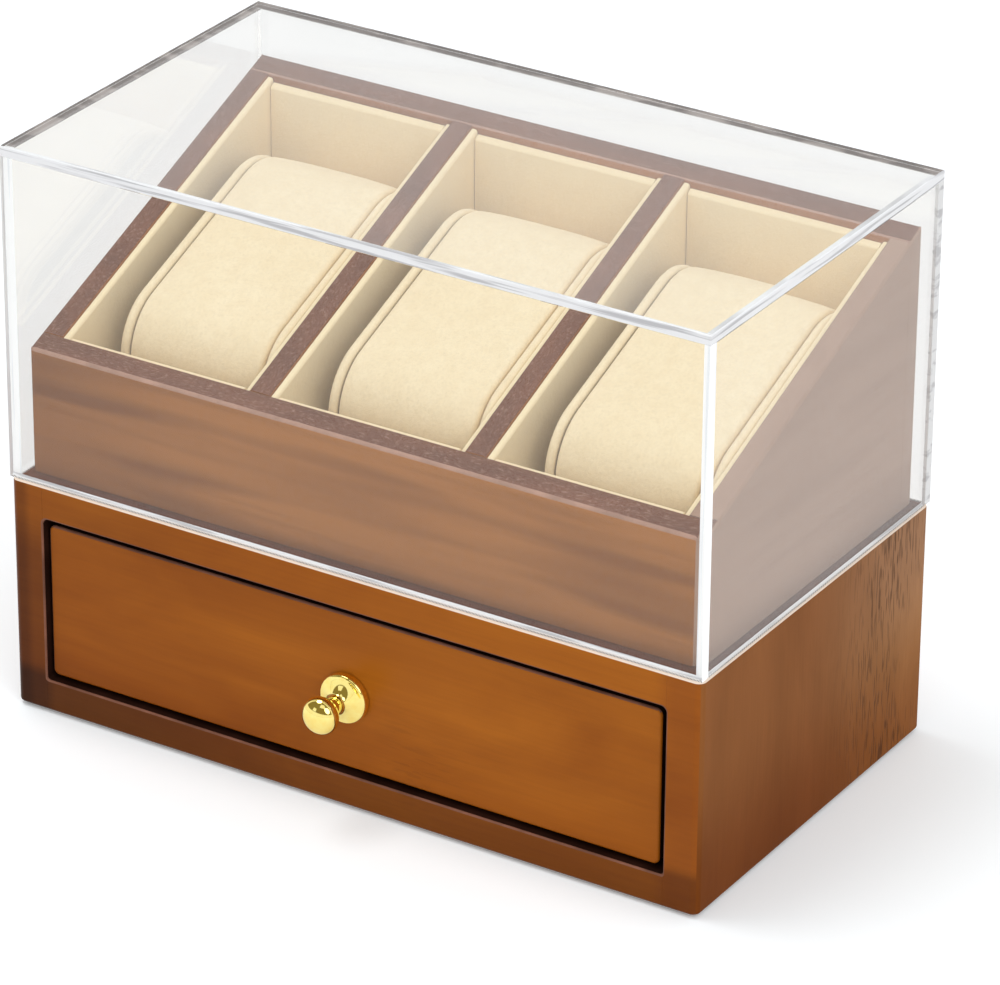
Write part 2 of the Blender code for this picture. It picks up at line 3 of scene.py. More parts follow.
import bmesh
import bpy
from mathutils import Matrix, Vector


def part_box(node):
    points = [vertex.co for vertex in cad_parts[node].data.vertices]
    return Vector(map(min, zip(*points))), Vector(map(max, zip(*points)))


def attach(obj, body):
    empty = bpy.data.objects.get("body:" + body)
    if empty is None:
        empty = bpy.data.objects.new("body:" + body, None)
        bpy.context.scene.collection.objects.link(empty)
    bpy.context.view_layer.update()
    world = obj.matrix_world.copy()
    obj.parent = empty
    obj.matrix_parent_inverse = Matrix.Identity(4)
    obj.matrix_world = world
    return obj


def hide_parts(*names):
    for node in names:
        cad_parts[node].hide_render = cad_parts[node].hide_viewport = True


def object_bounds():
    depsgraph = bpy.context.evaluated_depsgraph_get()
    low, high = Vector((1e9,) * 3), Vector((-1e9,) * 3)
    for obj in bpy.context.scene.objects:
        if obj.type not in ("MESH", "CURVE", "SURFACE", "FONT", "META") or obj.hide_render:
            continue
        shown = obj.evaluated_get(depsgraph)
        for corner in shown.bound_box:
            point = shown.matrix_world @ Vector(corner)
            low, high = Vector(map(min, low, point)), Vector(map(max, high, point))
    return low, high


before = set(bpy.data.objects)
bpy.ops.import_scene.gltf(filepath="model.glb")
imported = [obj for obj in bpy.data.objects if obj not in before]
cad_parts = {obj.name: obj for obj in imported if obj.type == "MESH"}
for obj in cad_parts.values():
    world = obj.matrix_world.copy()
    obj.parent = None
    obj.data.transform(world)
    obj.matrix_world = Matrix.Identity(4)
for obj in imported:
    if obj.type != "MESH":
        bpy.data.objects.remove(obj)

cad_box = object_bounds()

# The camera stands to the front right of the case and above it, with a long lens, so that its edges hardly
# draw together. Its place, angles and lens come from a fit to the corners of the cabinet and of the cover.
CAMERA_PLACE = (0.79987, -1.27361, 0.82928)
CAMERA_ANGLES = (63.307, -0.419, 31.998)
FOCAL_LENGTH = 211.6
bpy.ops.object.camera_add(location=CAMERA_PLACE, rotation=[math.radians(angle) for angle in CAMERA_ANGLES])
camera = bpy.context.object
camera.data.lens = FOCAL_LENGTH
camera.data.clip_end = 20
bpy.context.scene.camera = camera

# The light is plain and soft: a pale room, a lamp high up on the left, and a weaker, larger one on the right.
# Only polished things mirror the dark end of the room, behind the camera, with its two windows.
KEY_LAMP = {"place": (-0.62, -0.14, 1.95), "size": 0.9, "power": 12.0}
FILL_LAMP = {"place": (1.5, -1.1, 1.4), "size": 1.4, "power": 13.0}
ROOM_STRENGTH = 0.74
MIRRORED_ROOM = (0.26, 0.21, 0.10)
WINDOWS = (
    {"turn": -28, "rise": 24, "half_turn": 9, "half_rise": 8},
    {"turn": 22, "rise": 60, "half_turn": 26, "half_rise": 12},
)
DARK_END_TURN = 85
DARK_END_RISE = 14
LAMP_TARGET = Vector((0, 0, 0.07))
DEGREES = 180 / math.pi


def add_lamp(name, place, size, power):
    bpy.ops.object.light_add(type="AREA", location=place)
    lamp = bpy.context.object
    lamp.name = name
    lamp.data.shape = "DISK"
    lamp.data.size = size
    lamp.data.energy = power
    lamp.rotation_euler = (LAMP_TARGET - Vector(place)).to_track_quat("-Z", "Y").to_euler()
    return lamp


add_lamp("key_lamp", **KEY_LAMP)
add_lamp("fill_lamp", **FILL_LAMP)


def feed(tree, step, **inputs):
    """Sets a node's inputs, named or numbered as in i0. Each is a value or the output that feeds it."""
    for name, value in inputs.items():
        numbered = name[0] == "i" and name[1:].isdigit()
        socket = step.inputs[int(name[1:]) if numbered else name.replace("_", " ")]
        if isinstance(value, bpy.types.NodeSocket):
            tree.links.new(value, socket)
        else:
            socket.default_value = value


def add_step(tree, kind, settings=None, **inputs):
    """Adds one node to a node tree, with its settings and its inputs."""
    step = tree.nodes.new(kind)
    for name, value in (settings or {}).items():
        setattr(step, name, value)
    feed(tree, step, **inputs)
    return step


def calculate(tree, operation, first, second=0.0, clamp=False):
    settings = {"operation": operation, "use_clamp": clamp}
    return add_step(tree, "ShaderNodeMath", settings, i0=first, i1=second).outputs[0]


def blend(tree, share, low, high, kind="MIX"):
    """A colour between two colours."""
    settings = {"data_type": "RGBA", "blend_type": kind}
    return add_step(tree, "ShaderNodeMix", settings, i0=share, i6=low, i7=high).outputs[2]


def tint(red, green, blue):
    return (red, green, blue, 1.0)


def within(tree, value, middle, half):
    """One where a value lies within half a width of a middle, and zero elsewhere."""
    away = calculate(tree, "ABSOLUTE", calculate(tree, "SUBTRACT", value, middle))
    return calculate(tree, "LESS_THAN", away, half)


room = bpy.data.worlds.new("pale_room")
bpy.context.scene.world = room
room.use_nodes = True
tree = room.node_tree
tree.nodes.clear()
ray = add_step(tree, "ShaderNodeLightPath")
direction = add_step(tree, "ShaderNodeTexCoord").outputs["Generated"]
way = add_step(tree, "ShaderNodeSeparateXYZ", Vector=direction)
forward = calculate(tree, "MULTIPLY", way.outputs["Y"], -1.0)
turn = calculate(tree, "MULTIPLY", calculate(tree, "ARCTAN2", way.outputs["X"], forward), DEGREES)
rise = calculate(tree, "MULTIPLY", calculate(tree, "ARCSINE", way.outputs["Z"]), DEGREES)
high_up = calculate(tree, "GREATER_THAN", rise, DARK_END_RISE)
dark_end = calculate(tree, "MULTIPLY", within(tree, turn, 0.0, DARK_END_TURN), high_up)
for window in WINDOWS:
    aside = within(tree, turn, window["turn"], window["half_turn"])
    above = within(tree, rise, window["rise"], window["half_rise"])
    dark_end = calculate(tree, "SUBTRACT", dark_end, calculate(tree, "MULTIPLY", aside, above), clamp=True)
mirrored = calculate(tree, "MULTIPLY", ray.outputs["Is Glossy Ray"], ray.outputs["Is Reflection Ray"])
seen = calculate(tree, "MAXIMUM", ray.outputs["Is Camera Ray"], ray.outputs["Is Transmission Ray"])
seen = calculate(tree, "MAXIMUM", seen, mirrored)
colour = blend(tree, calculate(tree, "MULTIPLY", mirrored, dark_end), tint(1, 1, 1), tint(*MIRRORED_ROOM))
strength = add_step(tree, "ShaderNodeMapRange", Value=seen, To_Min=ROOM_STRENGTH, To_Max=1.0).outputs[0]
light = add_step(tree, "ShaderNodeBackground", Color=colour, Strength=strength)
add_step(tree, "ShaderNodeOutputWorld", Surface=light.outputs[0])
bpy.context.scene.view_settings.view_transform = "Standard"

# The floor is a wide sheet of white studio board. What looks at it, straight or through glass or in a mirror,
# sees it with some light of its own, so that it comes out nearly white and still keeps a soft shadow.
FLOOR_SIZE = 12.0
FLOOR_WHITE = tint(0.86, 0.86, 0.86)
FLOOR_SEEN = tint(0.878, 0.912, 0.932)
FLOOR_GLOW = 0.17
FLOOR_GLOW_IN_GLASS = 0.09
bpy.ops.mesh.primitive_plane_add(size=FLOOR_SIZE, location=(0, 0, cad_box[0].z))
floor = bpy.context.object
floor.name = "floor"
studio_board = bpy.data.materials.new("studio_board")
studio_board.use_nodes = True
tree = studio_board.node_tree
ray = add_step(tree, "ShaderNodeLightPath")
straight = ray.outputs["Is Camera Ray"]
seen = calculate(tree, "MAXIMUM", straight, ray.outputs["Is Glossy Ray"])
glow = calculate(tree, "MULTIPLY", seen, FLOOR_GLOW_IN_GLASS)
more_glow = calculate(tree, "MULTIPLY", straight, FLOOR_GLOW - FLOOR_GLOW_IN_GLASS)
feed(
    tree,
    tree.nodes["Principled BSDF"],
    Base_Color=blend(tree, straight, FLOOR_WHITE, FLOOR_SEEN),
    Roughness=0.9,
    Specular_IOR_Level=0.0,
    Emission_Color=tint(1, 1, 1),
    Emission_Strength=calculate(tree, "ADD", glow, more_glow),
)
floor.data.materials.append(studio_board)

# The cabinet is glued up from solid boards, stained an orange brown and sprayed with satin lacquer, so that
# no joint shows. The sides run the full height, with the top and bottom between them. The drawer opening is
# routed with small round corners. Painted shade darkens the front at the left and at the bottom, and inside
# the opening.
SEAM = 0.00003
CABINET_CORNER_ROUND = 0.0025
CABINET_EDGE_ROUND = 0.001
OPENING_EDGE_ROUND = 0.0005
OPENING_TOP_ROUND = 0.002
OPENING_BOTTOM_ROUND = 0.0011
ROUTER_OVERRUN = 0.002
ROUND_STEPS = 4
CORNER_STEPS = 8
STAIN_LIGHT = tint(0.415, 0.124, 0.0085)
STAIN_DARK = tint(0.30, 0.080, 0.0055)
STAIN_EDGE = tint(0.12, 0.032, 0.008)
STAIN_PORE = tint(0.045, 0.018, 0.008)
# Near black in the opening and in the drawer's gap: partly dark stain, partly painted shade.
STAIN_AND_SHADE_IN_GAP = tint(0.030, 0.011, 0.007)
SHADE_UNDER_COVER = tint(0.14, 0.038, 0.008)
RIM_HIGHLIGHT = tint(0.26, 0.115, 0.075)
TOP_RIM_HIGHLIGHT = tint(0.86, 0.72, 0.60)
SIDE_STAIN_LIGHT = tint(0.285, 0.105, 0.030)
SIDE_STAIN_DARK = tint(0.222, 0.080, 0.022)
# Painted shade on the front: darker towards the left, at the bottom rail and at the right stile.
FRONT_PAINTED_SHADE = (
    ((("X", -0.02, -0.112),), tint(0.76, 0.73, 0.83)),
    ((("Z", 0.0165, 0.0110),), tint(0.52, 0.50, 0.58)),
    ((("Z", 0.0165, 0.0110), ("X", -0.01, -0.10)), tint(0.74, 0.76, 1.00)),
    ((("X", -0.100, -0.1055), ("Z", 0.070, 0.050)), tint(0.60, 0.57, 0.78)),
    ((("X", -0.1075, -0.1112),), tint(0.66, 0.64, 0.75)),
    ((("X", 0.099, 0.107),), tint(0.79, 0.73, 0.96)),
)
# Painted reflection and shade on the sides: darker towards the bottom, paler towards the back and top.
SIDE_PAINTED_REFLECTION_AND_SHADE = (
    ((("Z", 0.050, 0.003),), tint(0.72, 0.54, 0.34)),
    ((("Y", -0.01, 0.06),), tint(1.45, 1.80, 2.20)),
    ((("Y", -0.02, 0.06), ("Z", 0.02, 0.072)), tint(1.00, 1.15, 1.75)),
)
FACINGS = {
    "left": Vector((-1, 0, 0)),
    "right": Vector((1, 0, 0)),
    "front": Vector((0, -1, 0)),
    "back": Vector((0, 1, 0)),
    "top": Vector((0, 0, 1)),
    "bottom": Vector((0, 0, -1)),
}
NEARLY = 0.9
HARDLY = 0.1
ALONG_X = (1, 0, 0)
ALONG_Y = (0, 1, 0)
ALONG_Z = (0, 0, 1)


def add_block(name, low, high):
    """A block between two corners, with its place in its mesh."""
    bpy.ops.object.select_all(action="DESELECT")
    bpy.ops.mesh.primitive_cube_add(size=1, location=(low + high) / 2, scale=high - low)
    block = bpy.context.object
    block.name = name
    block.data.name = name
    bpy.ops.object.transform_apply(location=True, rotation=True, scale=True)
    return block


def select_only(piece):
    bpy.ops.object.select_all(action="DESELECT")
    bpy.context.view_layer.objects.active = piece
    piece.select_set(True)


def faces(face, facing):
    return face.normal.dot(FACINGS[facing]) > NEARLY


def edge_between(*facings):
    """Accepts an edge whose two faces look the two ways named. Several pairs may be given."""

    def accept(edge):
        if len(edge.link_faces) != 2:
            return False
        one, other = edge.link_faces
        for first, second in facings:
            if faces(one, first) and faces(other, second) or faces(one, second) and faces(other, first):
                return True
        return False

    return accept


def rim_of(*facings):
    """Accepts the edges round the faces that look the ways named."""

    def accept(edge):
        looking = [face for face in edge.link_faces if any(faces(face, facing) for facing in facings)]
        return len(edge.link_faces) == 2 and len(looking) == 1

    return accept


def choose_edges(piece, accept):
    """Goes into edit mode on a piece and selects the edges that are accepted."""
    select_only(piece)
    bpy.ops.object.mode_set(mode="EDIT")
    bpy.ops.mesh.select_mode(type="EDGE")
    bpy.ops.mesh.select_all(action="DESELECT")
    shape = bmesh.from_edit_mesh(piece.data)
    shape.normal_update()
    for edge in shape.edges:
        edge.select_set(accept(edge))
    bmesh.update_edit_mesh(piece.data)


def choose_faces(piece, accept):
    """Goes into edit mode on a piece and selects the faces that are accepted."""
    choose_edges(piece, lambda edge: False)
    bpy.ops.mesh.select_mode(type="FACE")
    shape = bmesh.from_edit_mesh(piece.data)
    for face in shape.faces:
        face.select_set(accept(face))
    bmesh.update_edit_mesh(piece.data)


def edit_whole(piece):
    """Goes into edit mode on a piece with all of it selected."""
    choose_edges(piece, lambda edge: False)
    bpy.ops.mesh.select_all(action="SELECT")


def round_edges(piece, accept, radius, steps=ROUND_STEPS):
    choose_edges(piece, accept)
    bpy.ops.mesh.bevel(offset=radius, segments=steps, affect="EDGES")
    bpy.ops.object.mode_set(mode="OBJECT")


def smooth_piece(piece, angle=50):
    """Smooth shading over round edges, with the flat faces kept flat."""
    select_only(piece)
    bpy.ops.object.shade_smooth_by_angle(angle=math.radians(angle))
    bpy.ops.object.modifier_add(type="WEIGHTED_NORMAL")
    piece.modifiers[-1].keep_sharp = True
    bpy.ops.object.modifier_apply(modifier=piece.modifiers[-1].name)


def new_finish(name, roughness):
    """A material with its node tree, its shader and its object coordinates."""
    finish = bpy.data.materials.new(name)
    finish.use_nodes = True
    tree = finish.node_tree
    shader = tree.nodes["Principled BSDF"]
    shader.inputs["Roughness"].default_value = roughness
    place = add_step(tree, "ShaderNodeTexCoord").outputs["Object"]
    return finish, tree, shader, place


def grain(tree, place, stretch, scale=1.0, detail=3.0, roughness=0.55, distortion=0.0):
    """Noise whose spots are so many to the metre along each axis."""
    mapped = add_step(tree, "ShaderNodeMapping", Vector=place, Scale=stretch)
    noise = add_step(
        tree,
        "ShaderNodeTexNoise",
        Vector=mapped.outputs[0],
        Scale=scale,
        Detail=detail,
        Roughness=roughness,
        Distortion=distortion,
    )
    return noise.outputs["Fac"]


def between(tree, value, low, high, start=0.0, end=1.0):
    """Stretches the part of a value from low to high over start to end."""
    spans = {"From_Min": low, "From_Max": high, "To_Min": start, "To_Max": end}
    return add_step(tree, "ShaderNodeMapRange", Value=value, **spans).outputs[0]


def add_bump(tree, shader, height, depth):
    """Relief on a surface, so many metres deep."""
    bump = add_step(tree, "ShaderNodeBump", Height=height, Distance=depth, Strength=1.0)
    feed(tree, shader, Normal=bump.outputs["Normal"])


def fade(tree, place, axis, clear, full):
    """How far a place has come, along one axis, from where a shade is clear to where it's full."""
    value = add_step(tree, "ShaderNodeSeparateXYZ", Vector=place).outputs[axis]
    smooth = {"interpolation_type": "SMOOTHSTEP"}
    ramp = add_step(tree, "ShaderNodeMapRange", smooth, Value=value, From_Min=clear, From_Max=full)
    return ramp.outputs[0]


def shaded(tree, place, tone, shades):
    """Multiplies a tone by the colour of each painted shade or light, as far as all of its fades have come."""
    for fades, colour in shades:
        share = 1.0
        for axis, clear, full in fades:
            share = calculate(tree, "MULTIPLY", fade(tree, place, axis, clear, full), share)
        tone = blend(tree, share, tone, colour, "MULTIPLY")
    return tone


def stained_finish(name, along, across, light, dark, pore_patches, shades=(), shine=0.1):
    """Stained, lacquered wood: cloudy stain, faint fibres along the grain, dark pores in patches, and painted
    light and shade.
    """
    finish, tree, shader, place = new_finish(name, 0.3)
    clouds = grain(tree, place, [12 if a else 34 for a in along], detail=4.0, distortion=0.6)
    fibres = grain(tree, place, [30 if a else 1200 if b else 600 for a, b in zip(along, across)], detail=2.0)
    figure = grain(tree, place, [7 if a else 110 for a in along], detail=3.0, distortion=1.2)
    tone = blend(tree, between(tree, clouds, 0.32, 0.66), dark, light)
    tone = blend(tree, between(tree, figure, 0.45, 0.75, 0.0, 0.25), tone, dark)
    tone = blend(tree, between(tree, fibres, 0.35, 0.75, 0.0, 0.12), tone, STAIN_EDGE)
    dashes = grain(tree, place, [120 if a else 1350 for a in along], detail=1.0)
    pores = calculate(tree, "MULTIPLY", between(tree, dashes, 0.545, 0.60), pore_patches(tree, place))
    tone = shaded(tree, place, tone, shades)
    tone = blend(tree, calculate(tree, "MULTIPLY", pores, 0.7), tone, STAIN_PORE)
    satin = between(tree, clouds, 0.3, 0.7, 0.36, 0.28)
    feed(tree, shader, Base_Color=tone, Roughness=satin, Specular_IOR_Level=shine)
    relief = calculate(tree, "SUBTRACT", calculate(tree, "MULTIPLY", fibres, 0.2), pores)
    add_bump(tree, shader, relief, 0.00004)
    return finish


def few_pores(tree, place):
    return between(tree, grain(tree, place, [9, 9, 9], detail=2.0), 0.64, 0.76, 0.0, 0.5)


def pores_at_back(tree, place):
    """Open pores in the board's last third, thinning out towards the middle."""
    patches = between(tree, grain(tree, place, [25, 25, 18], detail=2.0), 0.30, 0.55)
    return calculate(tree, "MULTIPLY", patches, fade(tree, place, "Y", 0.00, 0.05))


front_stain = stained_finish(
    "front_stain", ALONG_X, ALONG_Z, STAIN_LIGHT, STAIN_DARK, few_pores, FRONT_PAINTED_SHADE
)
side_stain = stained_finish(
    "side_stain", ALONG_Z, ALONG_Y, SIDE_STAIN_LIGHT, SIDE_STAIN_DARK, pores_at_back, SIDE_PAINTED_REFLECTION_AND_SHADE, shine=0.02
)


def plain_stain(name, colour, depth):
    """One colour over a little grain, with thinner patches, for edges and inner faces: used for stain, painted
    shade and painted highlights.
    """
    finish, tree, shader, place = new_finish(name, 0.4)
    patches = grain(tree, place, [90, 90, 90], detail=4.0)
    fibres = grain(tree, place, [300, 900, 900], detail=2.0)
    deep = tint(*[part * depth for part in colour[:3]])
    tone = blend(tree, between(tree, patches, 0.35, 0.65), colour, deep)
    tone = blend(tree, between(tree, fibres, 0.4, 0.8, 0.0, 0.4), tone, deep)
    satin = between(tree, patches, 0.3, 0.7, 0.34, 0.46)
    feed(tree, shader, Base_Color=tone, Roughness=satin, Specular_IOR_Level=0.03)
    add_bump(tree, shader, fibres, 0.00002)
    return finish


gap_stain_and_shade = plain_stain("gap_stain_and_shade", STAIN_AND_SHADE_IN_GAP, 0.6)
painted_shade_under_cover = plain_stain("painted_shade_under_cover", SHADE_UNDER_COVER, 0.75)
opening_rim_highlight = plain_stain("opening_rim_highlight", RIM_HIGHLIGHT, 0.6)
top_rim_highlight = plain_stain("top_rim_highlight", TOP_RIM_HIGHLIGHT, 0.93)


def paint(piece, finish, accept):
    """Gives the faces whose normal is accepted another of the piece's finishes."""
    index = list(piece.data.materials).index(finish)
    for polygon in piece.data.polygons:
        if accept(polygon.normal):
            polygon.material_index = index


left_low, left_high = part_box("cabinet_left_side")
right_low, right_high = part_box("cabinet_right_side")
top_low, top_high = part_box("cabinet_top_board")
bottom_low, bottom_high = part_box("cabinet_bottom_board")
panel_low, panel_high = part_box("cabinet_back_panel")

opening_low = Vector((left_high.x, left_low.y, bottom_high.z))
opening_high = Vector((right_low.x, left_high.y, top_low.z))


def round_opening_corners(piece):
    for level, radius in (("top", OPENING_TOP_ROUND), ("bottom", OPENING_BOTTOM_ROUND)):
        round_edges(piece, edge_between(("left", level), ("right", level)), radius, CORNER_STEPS)


def add_router_path():
    """The shape that the router takes out: the opening with round corners, flared to round its front edge."""
    play = Vector((SEAM / 3, 0, SEAM / 3))
    low = opening_low - play + Vector((0, OPENING_EDGE_ROUND, 0))
    high = opening_high + play + Vector((0, ROUTER_OVERRUN, 0))
    path = add_block("router_path", low, high)
    round_opening_corners(path)
    choose_faces(path, lambda face: faces(face, "front"))
    wide = 0
    for step in range(ROUND_STEPS):
        start, end = (math.pi / 2 * share / ROUND_STEPS for share in (step, step + 1))
        reach = OPENING_EDGE_ROUND * (math.sin(end) - math.sin(start))
        wider = OPENING_EDGE_ROUND * (1 - math.cos(end))
        across, up = ((size + 2 * wider) / (size + 2 * wide) for size in (high.x - low.x, high.z - low.z))
        bpy.ops.mesh.extrude_region_move(TRANSFORM_OT_translate={"value": (0, -reach, 0)})
        bpy.ops.transform.resize(value=(across, 1, up), center_override=(low + high) / 2)
        wide = wider
    bpy.ops.mesh.extrude_region_move(TRANSFORM_OT_translate={"value": (0, -ROUTER_OVERRUN, 0)})
    bpy.ops.object.mode_set(mode="OBJECT")
    return path


router_path = add_router_path()


def cut_away(piece, tool):
    """Takes a tool's shape out of a piece."""
    select_only(piece)
    cut = piece.modifiers.new("cut", "BOOLEAN")
    cut.object = tool
    bpy.ops.object.modifier_apply(modifier=cut.name)
    piece.data.materials.clear()


def finish_cabinet_board(board, node, outward, inward):
    """Stain all over, with painted shade in the opening and under the cover, and painted highlights on round
    edges.
    """
    smooth_piece(board)
    for finish in (front_stain, side_stain, gap_stain_and_shade, painted_shade_under_cover, opening_rim_highlight, top_rim_highlight):
        board.data.materials.append(finish)
    inner = FACINGS[inward]
    if outward:
        paint(board, side_stain, lambda normal: normal.dot(FACINGS[outward]) > 0.7)
    # Painted shade: the faces inside the opening are near black, with some dark stain.
    paint(board, gap_stain_and_shade, lambda normal: normal.dot(inner) > 0.02 and abs(normal.y) < 0.05)
    # Painted highlight on the round front edge of the opening.
    paint(board, opening_rim_highlight, lambda normal: normal.dot(inner) > 0.02 and normal.y < -0.05)
    if inward != "top":
        # Painted shade: the top faces, under the cover and the rack, are darker.
        paint(board, painted_shade_under_cover, lambda normal: normal.z > 0.95)
        # Painted highlight: a cream line along the round top edges.
        paint(board, top_rim_highlight, lambda normal: 0.3 < normal.z < 0.95 and normal.dot(inner) < 0.02)
    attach(board, "case")
    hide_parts(node)


def outer_rim(inside):
    """Accepts the edges round the top and the bottom face, but not those of the side that looks inside."""

    def accept(edge):
        level = [face for face in edge.link_faces if abs(face.normal.z) > NEARLY]
        upright = [face for face in edge.link_faces if abs(face.normal.z) < HARDLY]
        return len(level) == 1 and len(upright) == 1 and not faces(upright[0], inside)

    return accept


for name, node, low, high, outside, inside in (
    ("left_side_board", "cabinet_left_side", left_low, left_high, "left", "right"),
    ("right_side_board", "cabinet_right_side", right_low, right_high, "right", "left"),
):
    board = add_block(name, low, high)
    corners = edge_between((outside, "front"), (outside, "back"))
    round_edges(board, corners, CABINET_CORNER_ROUND, CORNER_STEPS)
    round_edges(board, outer_rim(inside), CABINET_EDGE_ROUND)
    cut_away(board, router_path)
    finish_cabinet_board(board, node, outside, inside)

for name, node, low, high, level, inner, reach in (
    ("top_board", "cabinet_top_board", top_low, top_high, "top", "bottom", OPENING_TOP_ROUND),
    ("bottom_board", "cabinet_bottom_board", bottom_low, bottom_high, "bottom", "top", OPENING_BOTTOM_ROUND),
):
    low.x = left_high.x + SEAM
    high.x = right_low.x - SEAM
    high.y = panel_high.y
    grown_low, grown_high = low.copy(), high.copy()
    if inner == "bottom":
        grown_low.z -= reach
    else:
        grown_high.z += reach
    board = add_block(name, grown_low, grown_high)
    round_edges(board, edge_between((level, "front"), (level, "back")), CABINET_EDGE_ROUND)
    cut_away(board, router_path)
    finish_cabinet_board(board, node, None, inner)
bpy.data.objects.remove(router_path)

# The back panel closes the cabinet at the back of the routed opening, and its corners are rounded to fit. It
# has the same stain and lacquer. Its face in the opening is near black, partly dark stain and partly painted
# shade.
PANEL_EDGE_EASE = 0.0002
back_panel = add_block(
    "back_panel",
    Vector((left_high.x + SEAM, panel_low.y, bottom_high.z + SEAM)),
    Vector((right_low.x - SEAM, panel_high.y, top_low.z - SEAM)),
)
round_opening_corners(back_panel)
round_edges(back_panel, rim_of("back"), PANEL_EDGE_EASE, steps=2)
smooth_piece(back_panel)
back_panel.data.materials.append(front_stain)
back_panel.data.materials.append(gap_stain_and_shade)
paint(back_panel, gap_stain_and_shade, lambda normal: normal.y < -0.5)
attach(back_panel, "case")
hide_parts("cabinet_back_panel")

# A thin sheet of pressed black felt is glued under the cabinet, which stands on it. It is a little smaller
# than the cabinet, so that it doesn't show.
FELT_CORNER_ROUND = 0.002
FELT_EDGE_ROUND = 0.0002
FELT_BLACK = tint(0.015, 0.014, 0.013)
FELT_FUZZ = tint(0.06, 0.055, 0.05)
SIDES = ("front", "back", "left", "right")
felt_low, felt_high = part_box("base_felt")
felt = add_block("foot_felt", felt_low, felt_high)
felt_corners = edge_between(("left", "front"), ("left", "back"), ("right", "front"), ("right", "back"))
round_edges(felt, felt_corners, FELT_CORNER_ROUND, steps=4)
round_edges(felt, edge_between(*[("bottom", side) for side in SIDES]), FELT_EDGE_ROUND, steps=2)
smooth_piece(felt)
felt_finish, tree, shader, place = new_finish("pressed_felt", 0.95)
fuzz = grain(tree, place, [900, 900, 900], detail=4.0)
feed(tree, shader, Base_Color=blend(tree, fuzz, FELT_BLACK, FELT_FUZZ), Sheen_Weight=0.3)
add_bump(tree, shader, fuzz, 0.0002)
felt.data.materials.append(felt_finish)
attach(felt, "case")
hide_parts("base_felt")

# The drawer front is one board, stained like the cabinet, with softly rounded corners and edges. It stands
# 2 mm back in the opening, with a dark gap all round, and the knob's screw passes through it.
FRONT_CORNER_ROUND = 0.002
FRONT_EDGE_ROUND = 0.0008
SCREW_HOLE_RADIUS = 0.0018
HOLE_OVERRUN = 0.002
# Painted shade on the drawer front: darker towards the left and towards the bottom.
DRAWER_PAINTED_SHADE = (
    ((("X", -0.02, -0.105),), tint(0.86, 0.81, 0.85)),
    ((("Z", 0.030, 0.011),), tint(0.86, 0.79, 0.66)),
)
front_low, front_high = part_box("drawer_front")
knob_low, knob_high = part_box("knob")
knob_middle = (knob_low + knob_high) / 2
drawer_face = add_block("drawer_face", front_low, front_high)
round_edges(
    drawer_face,
    edge_between(("left", "top"), ("left", "bottom"), ("right", "top"), ("right", "bottom")),
    FRONT_CORNER_ROUND,
    CORNER_STEPS,
)
round_edges(drawer_face, rim_of("front"), FRONT_EDGE_ROUND)
bpy.ops.object.select_all(action="DESELECT")
bpy.ops.mesh.primitive_cylinder_add(
    vertices=48,
    radius=SCREW_HOLE_RADIUS,
    depth=front_high.y - front_low.y + HOLE_OVERRUN,
    location=(knob_middle.x, (front_low.y + front_high.y) / 2, knob_middle.z),
    rotation=(math.pi / 2, 0, 0),
)
drill = bpy.context.object
cut_away(drawer_face, drill)
bpy.data.objects.remove(drill)
smooth_piece(drawer_face)
drawer_stain = stained_finish(
    "drawer_stain", ALONG_X, ALONG_Z, STAIN_LIGHT, STAIN_DARK, few_pores, DRAWER_PAINTED_SHADE
)
drawer_face.data.materials.append(drawer_stain)
drawer_face.data.materials.append(gap_stain_and_shade)
drawer_face.data.materials.append(opening_rim_highlight)
# Painted shade: the drawer front's edges in the gap are near black, with some dark stain.
paint(drawer_face, gap_stain_and_shade, lambda normal: abs(normal.y) < 0.05)
# Painted highlight on the drawer front's upper and left rims.
paint(drawer_face, opening_rim_highlight, lambda normal: -0.9 < normal.y < -0.05 and (normal.z > 0.5 or normal.x < -0.5))
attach(drawer_face, "drawer")
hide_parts("drawer_front")

# The drawer box is pale, lightly sanded birch ply, glued and pinned behind the front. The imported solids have
# its real shape, so they keep it and get the wood's finish.
PLY_LIGHT = tint(0.50, 0.34, 0.19)
PLY_DARK = tint(0.40, 0.26, 0.14)
PLY_FIBRE = tint(0.30, 0.18, 0.09)
box_finish, tree, shader, place = new_finish("birch_ply", 0.6)
figure = grain(tree, place, [9, 60, 60], detail=3.0, distortion=0.8)
fibres = grain(tree, place, [40, 900, 900], detail=2.0)
tone = blend(tree, between(tree, figure, 0.3, 0.7), PLY_LIGHT, PLY_DARK)
tone = blend(tree, between(tree, fibres, 0.35, 0.7, 0.0, 0.3), tone, PLY_FIBRE)
feed(tree, shader, Base_Color=tone, Roughness=between(tree, fibres, 0.3, 0.7, 0.55, 0.7))
add_bump(tree, shader, fibres, 0.00005)
for node in ("drawer_left_side", "drawer_right_side", "drawer_back", "drawer_bottom"):
    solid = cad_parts[node]
    solid.data.materials.clear()
    solid.data.materials.append(box_finish)

# The drawer is lined with a thin sheet of cream velvet, the same as in the slots. It is laid on the drawer's
# floor with its nap upwards, between the sides of the box.
LINING_EDGE_ROUND = 0.0005


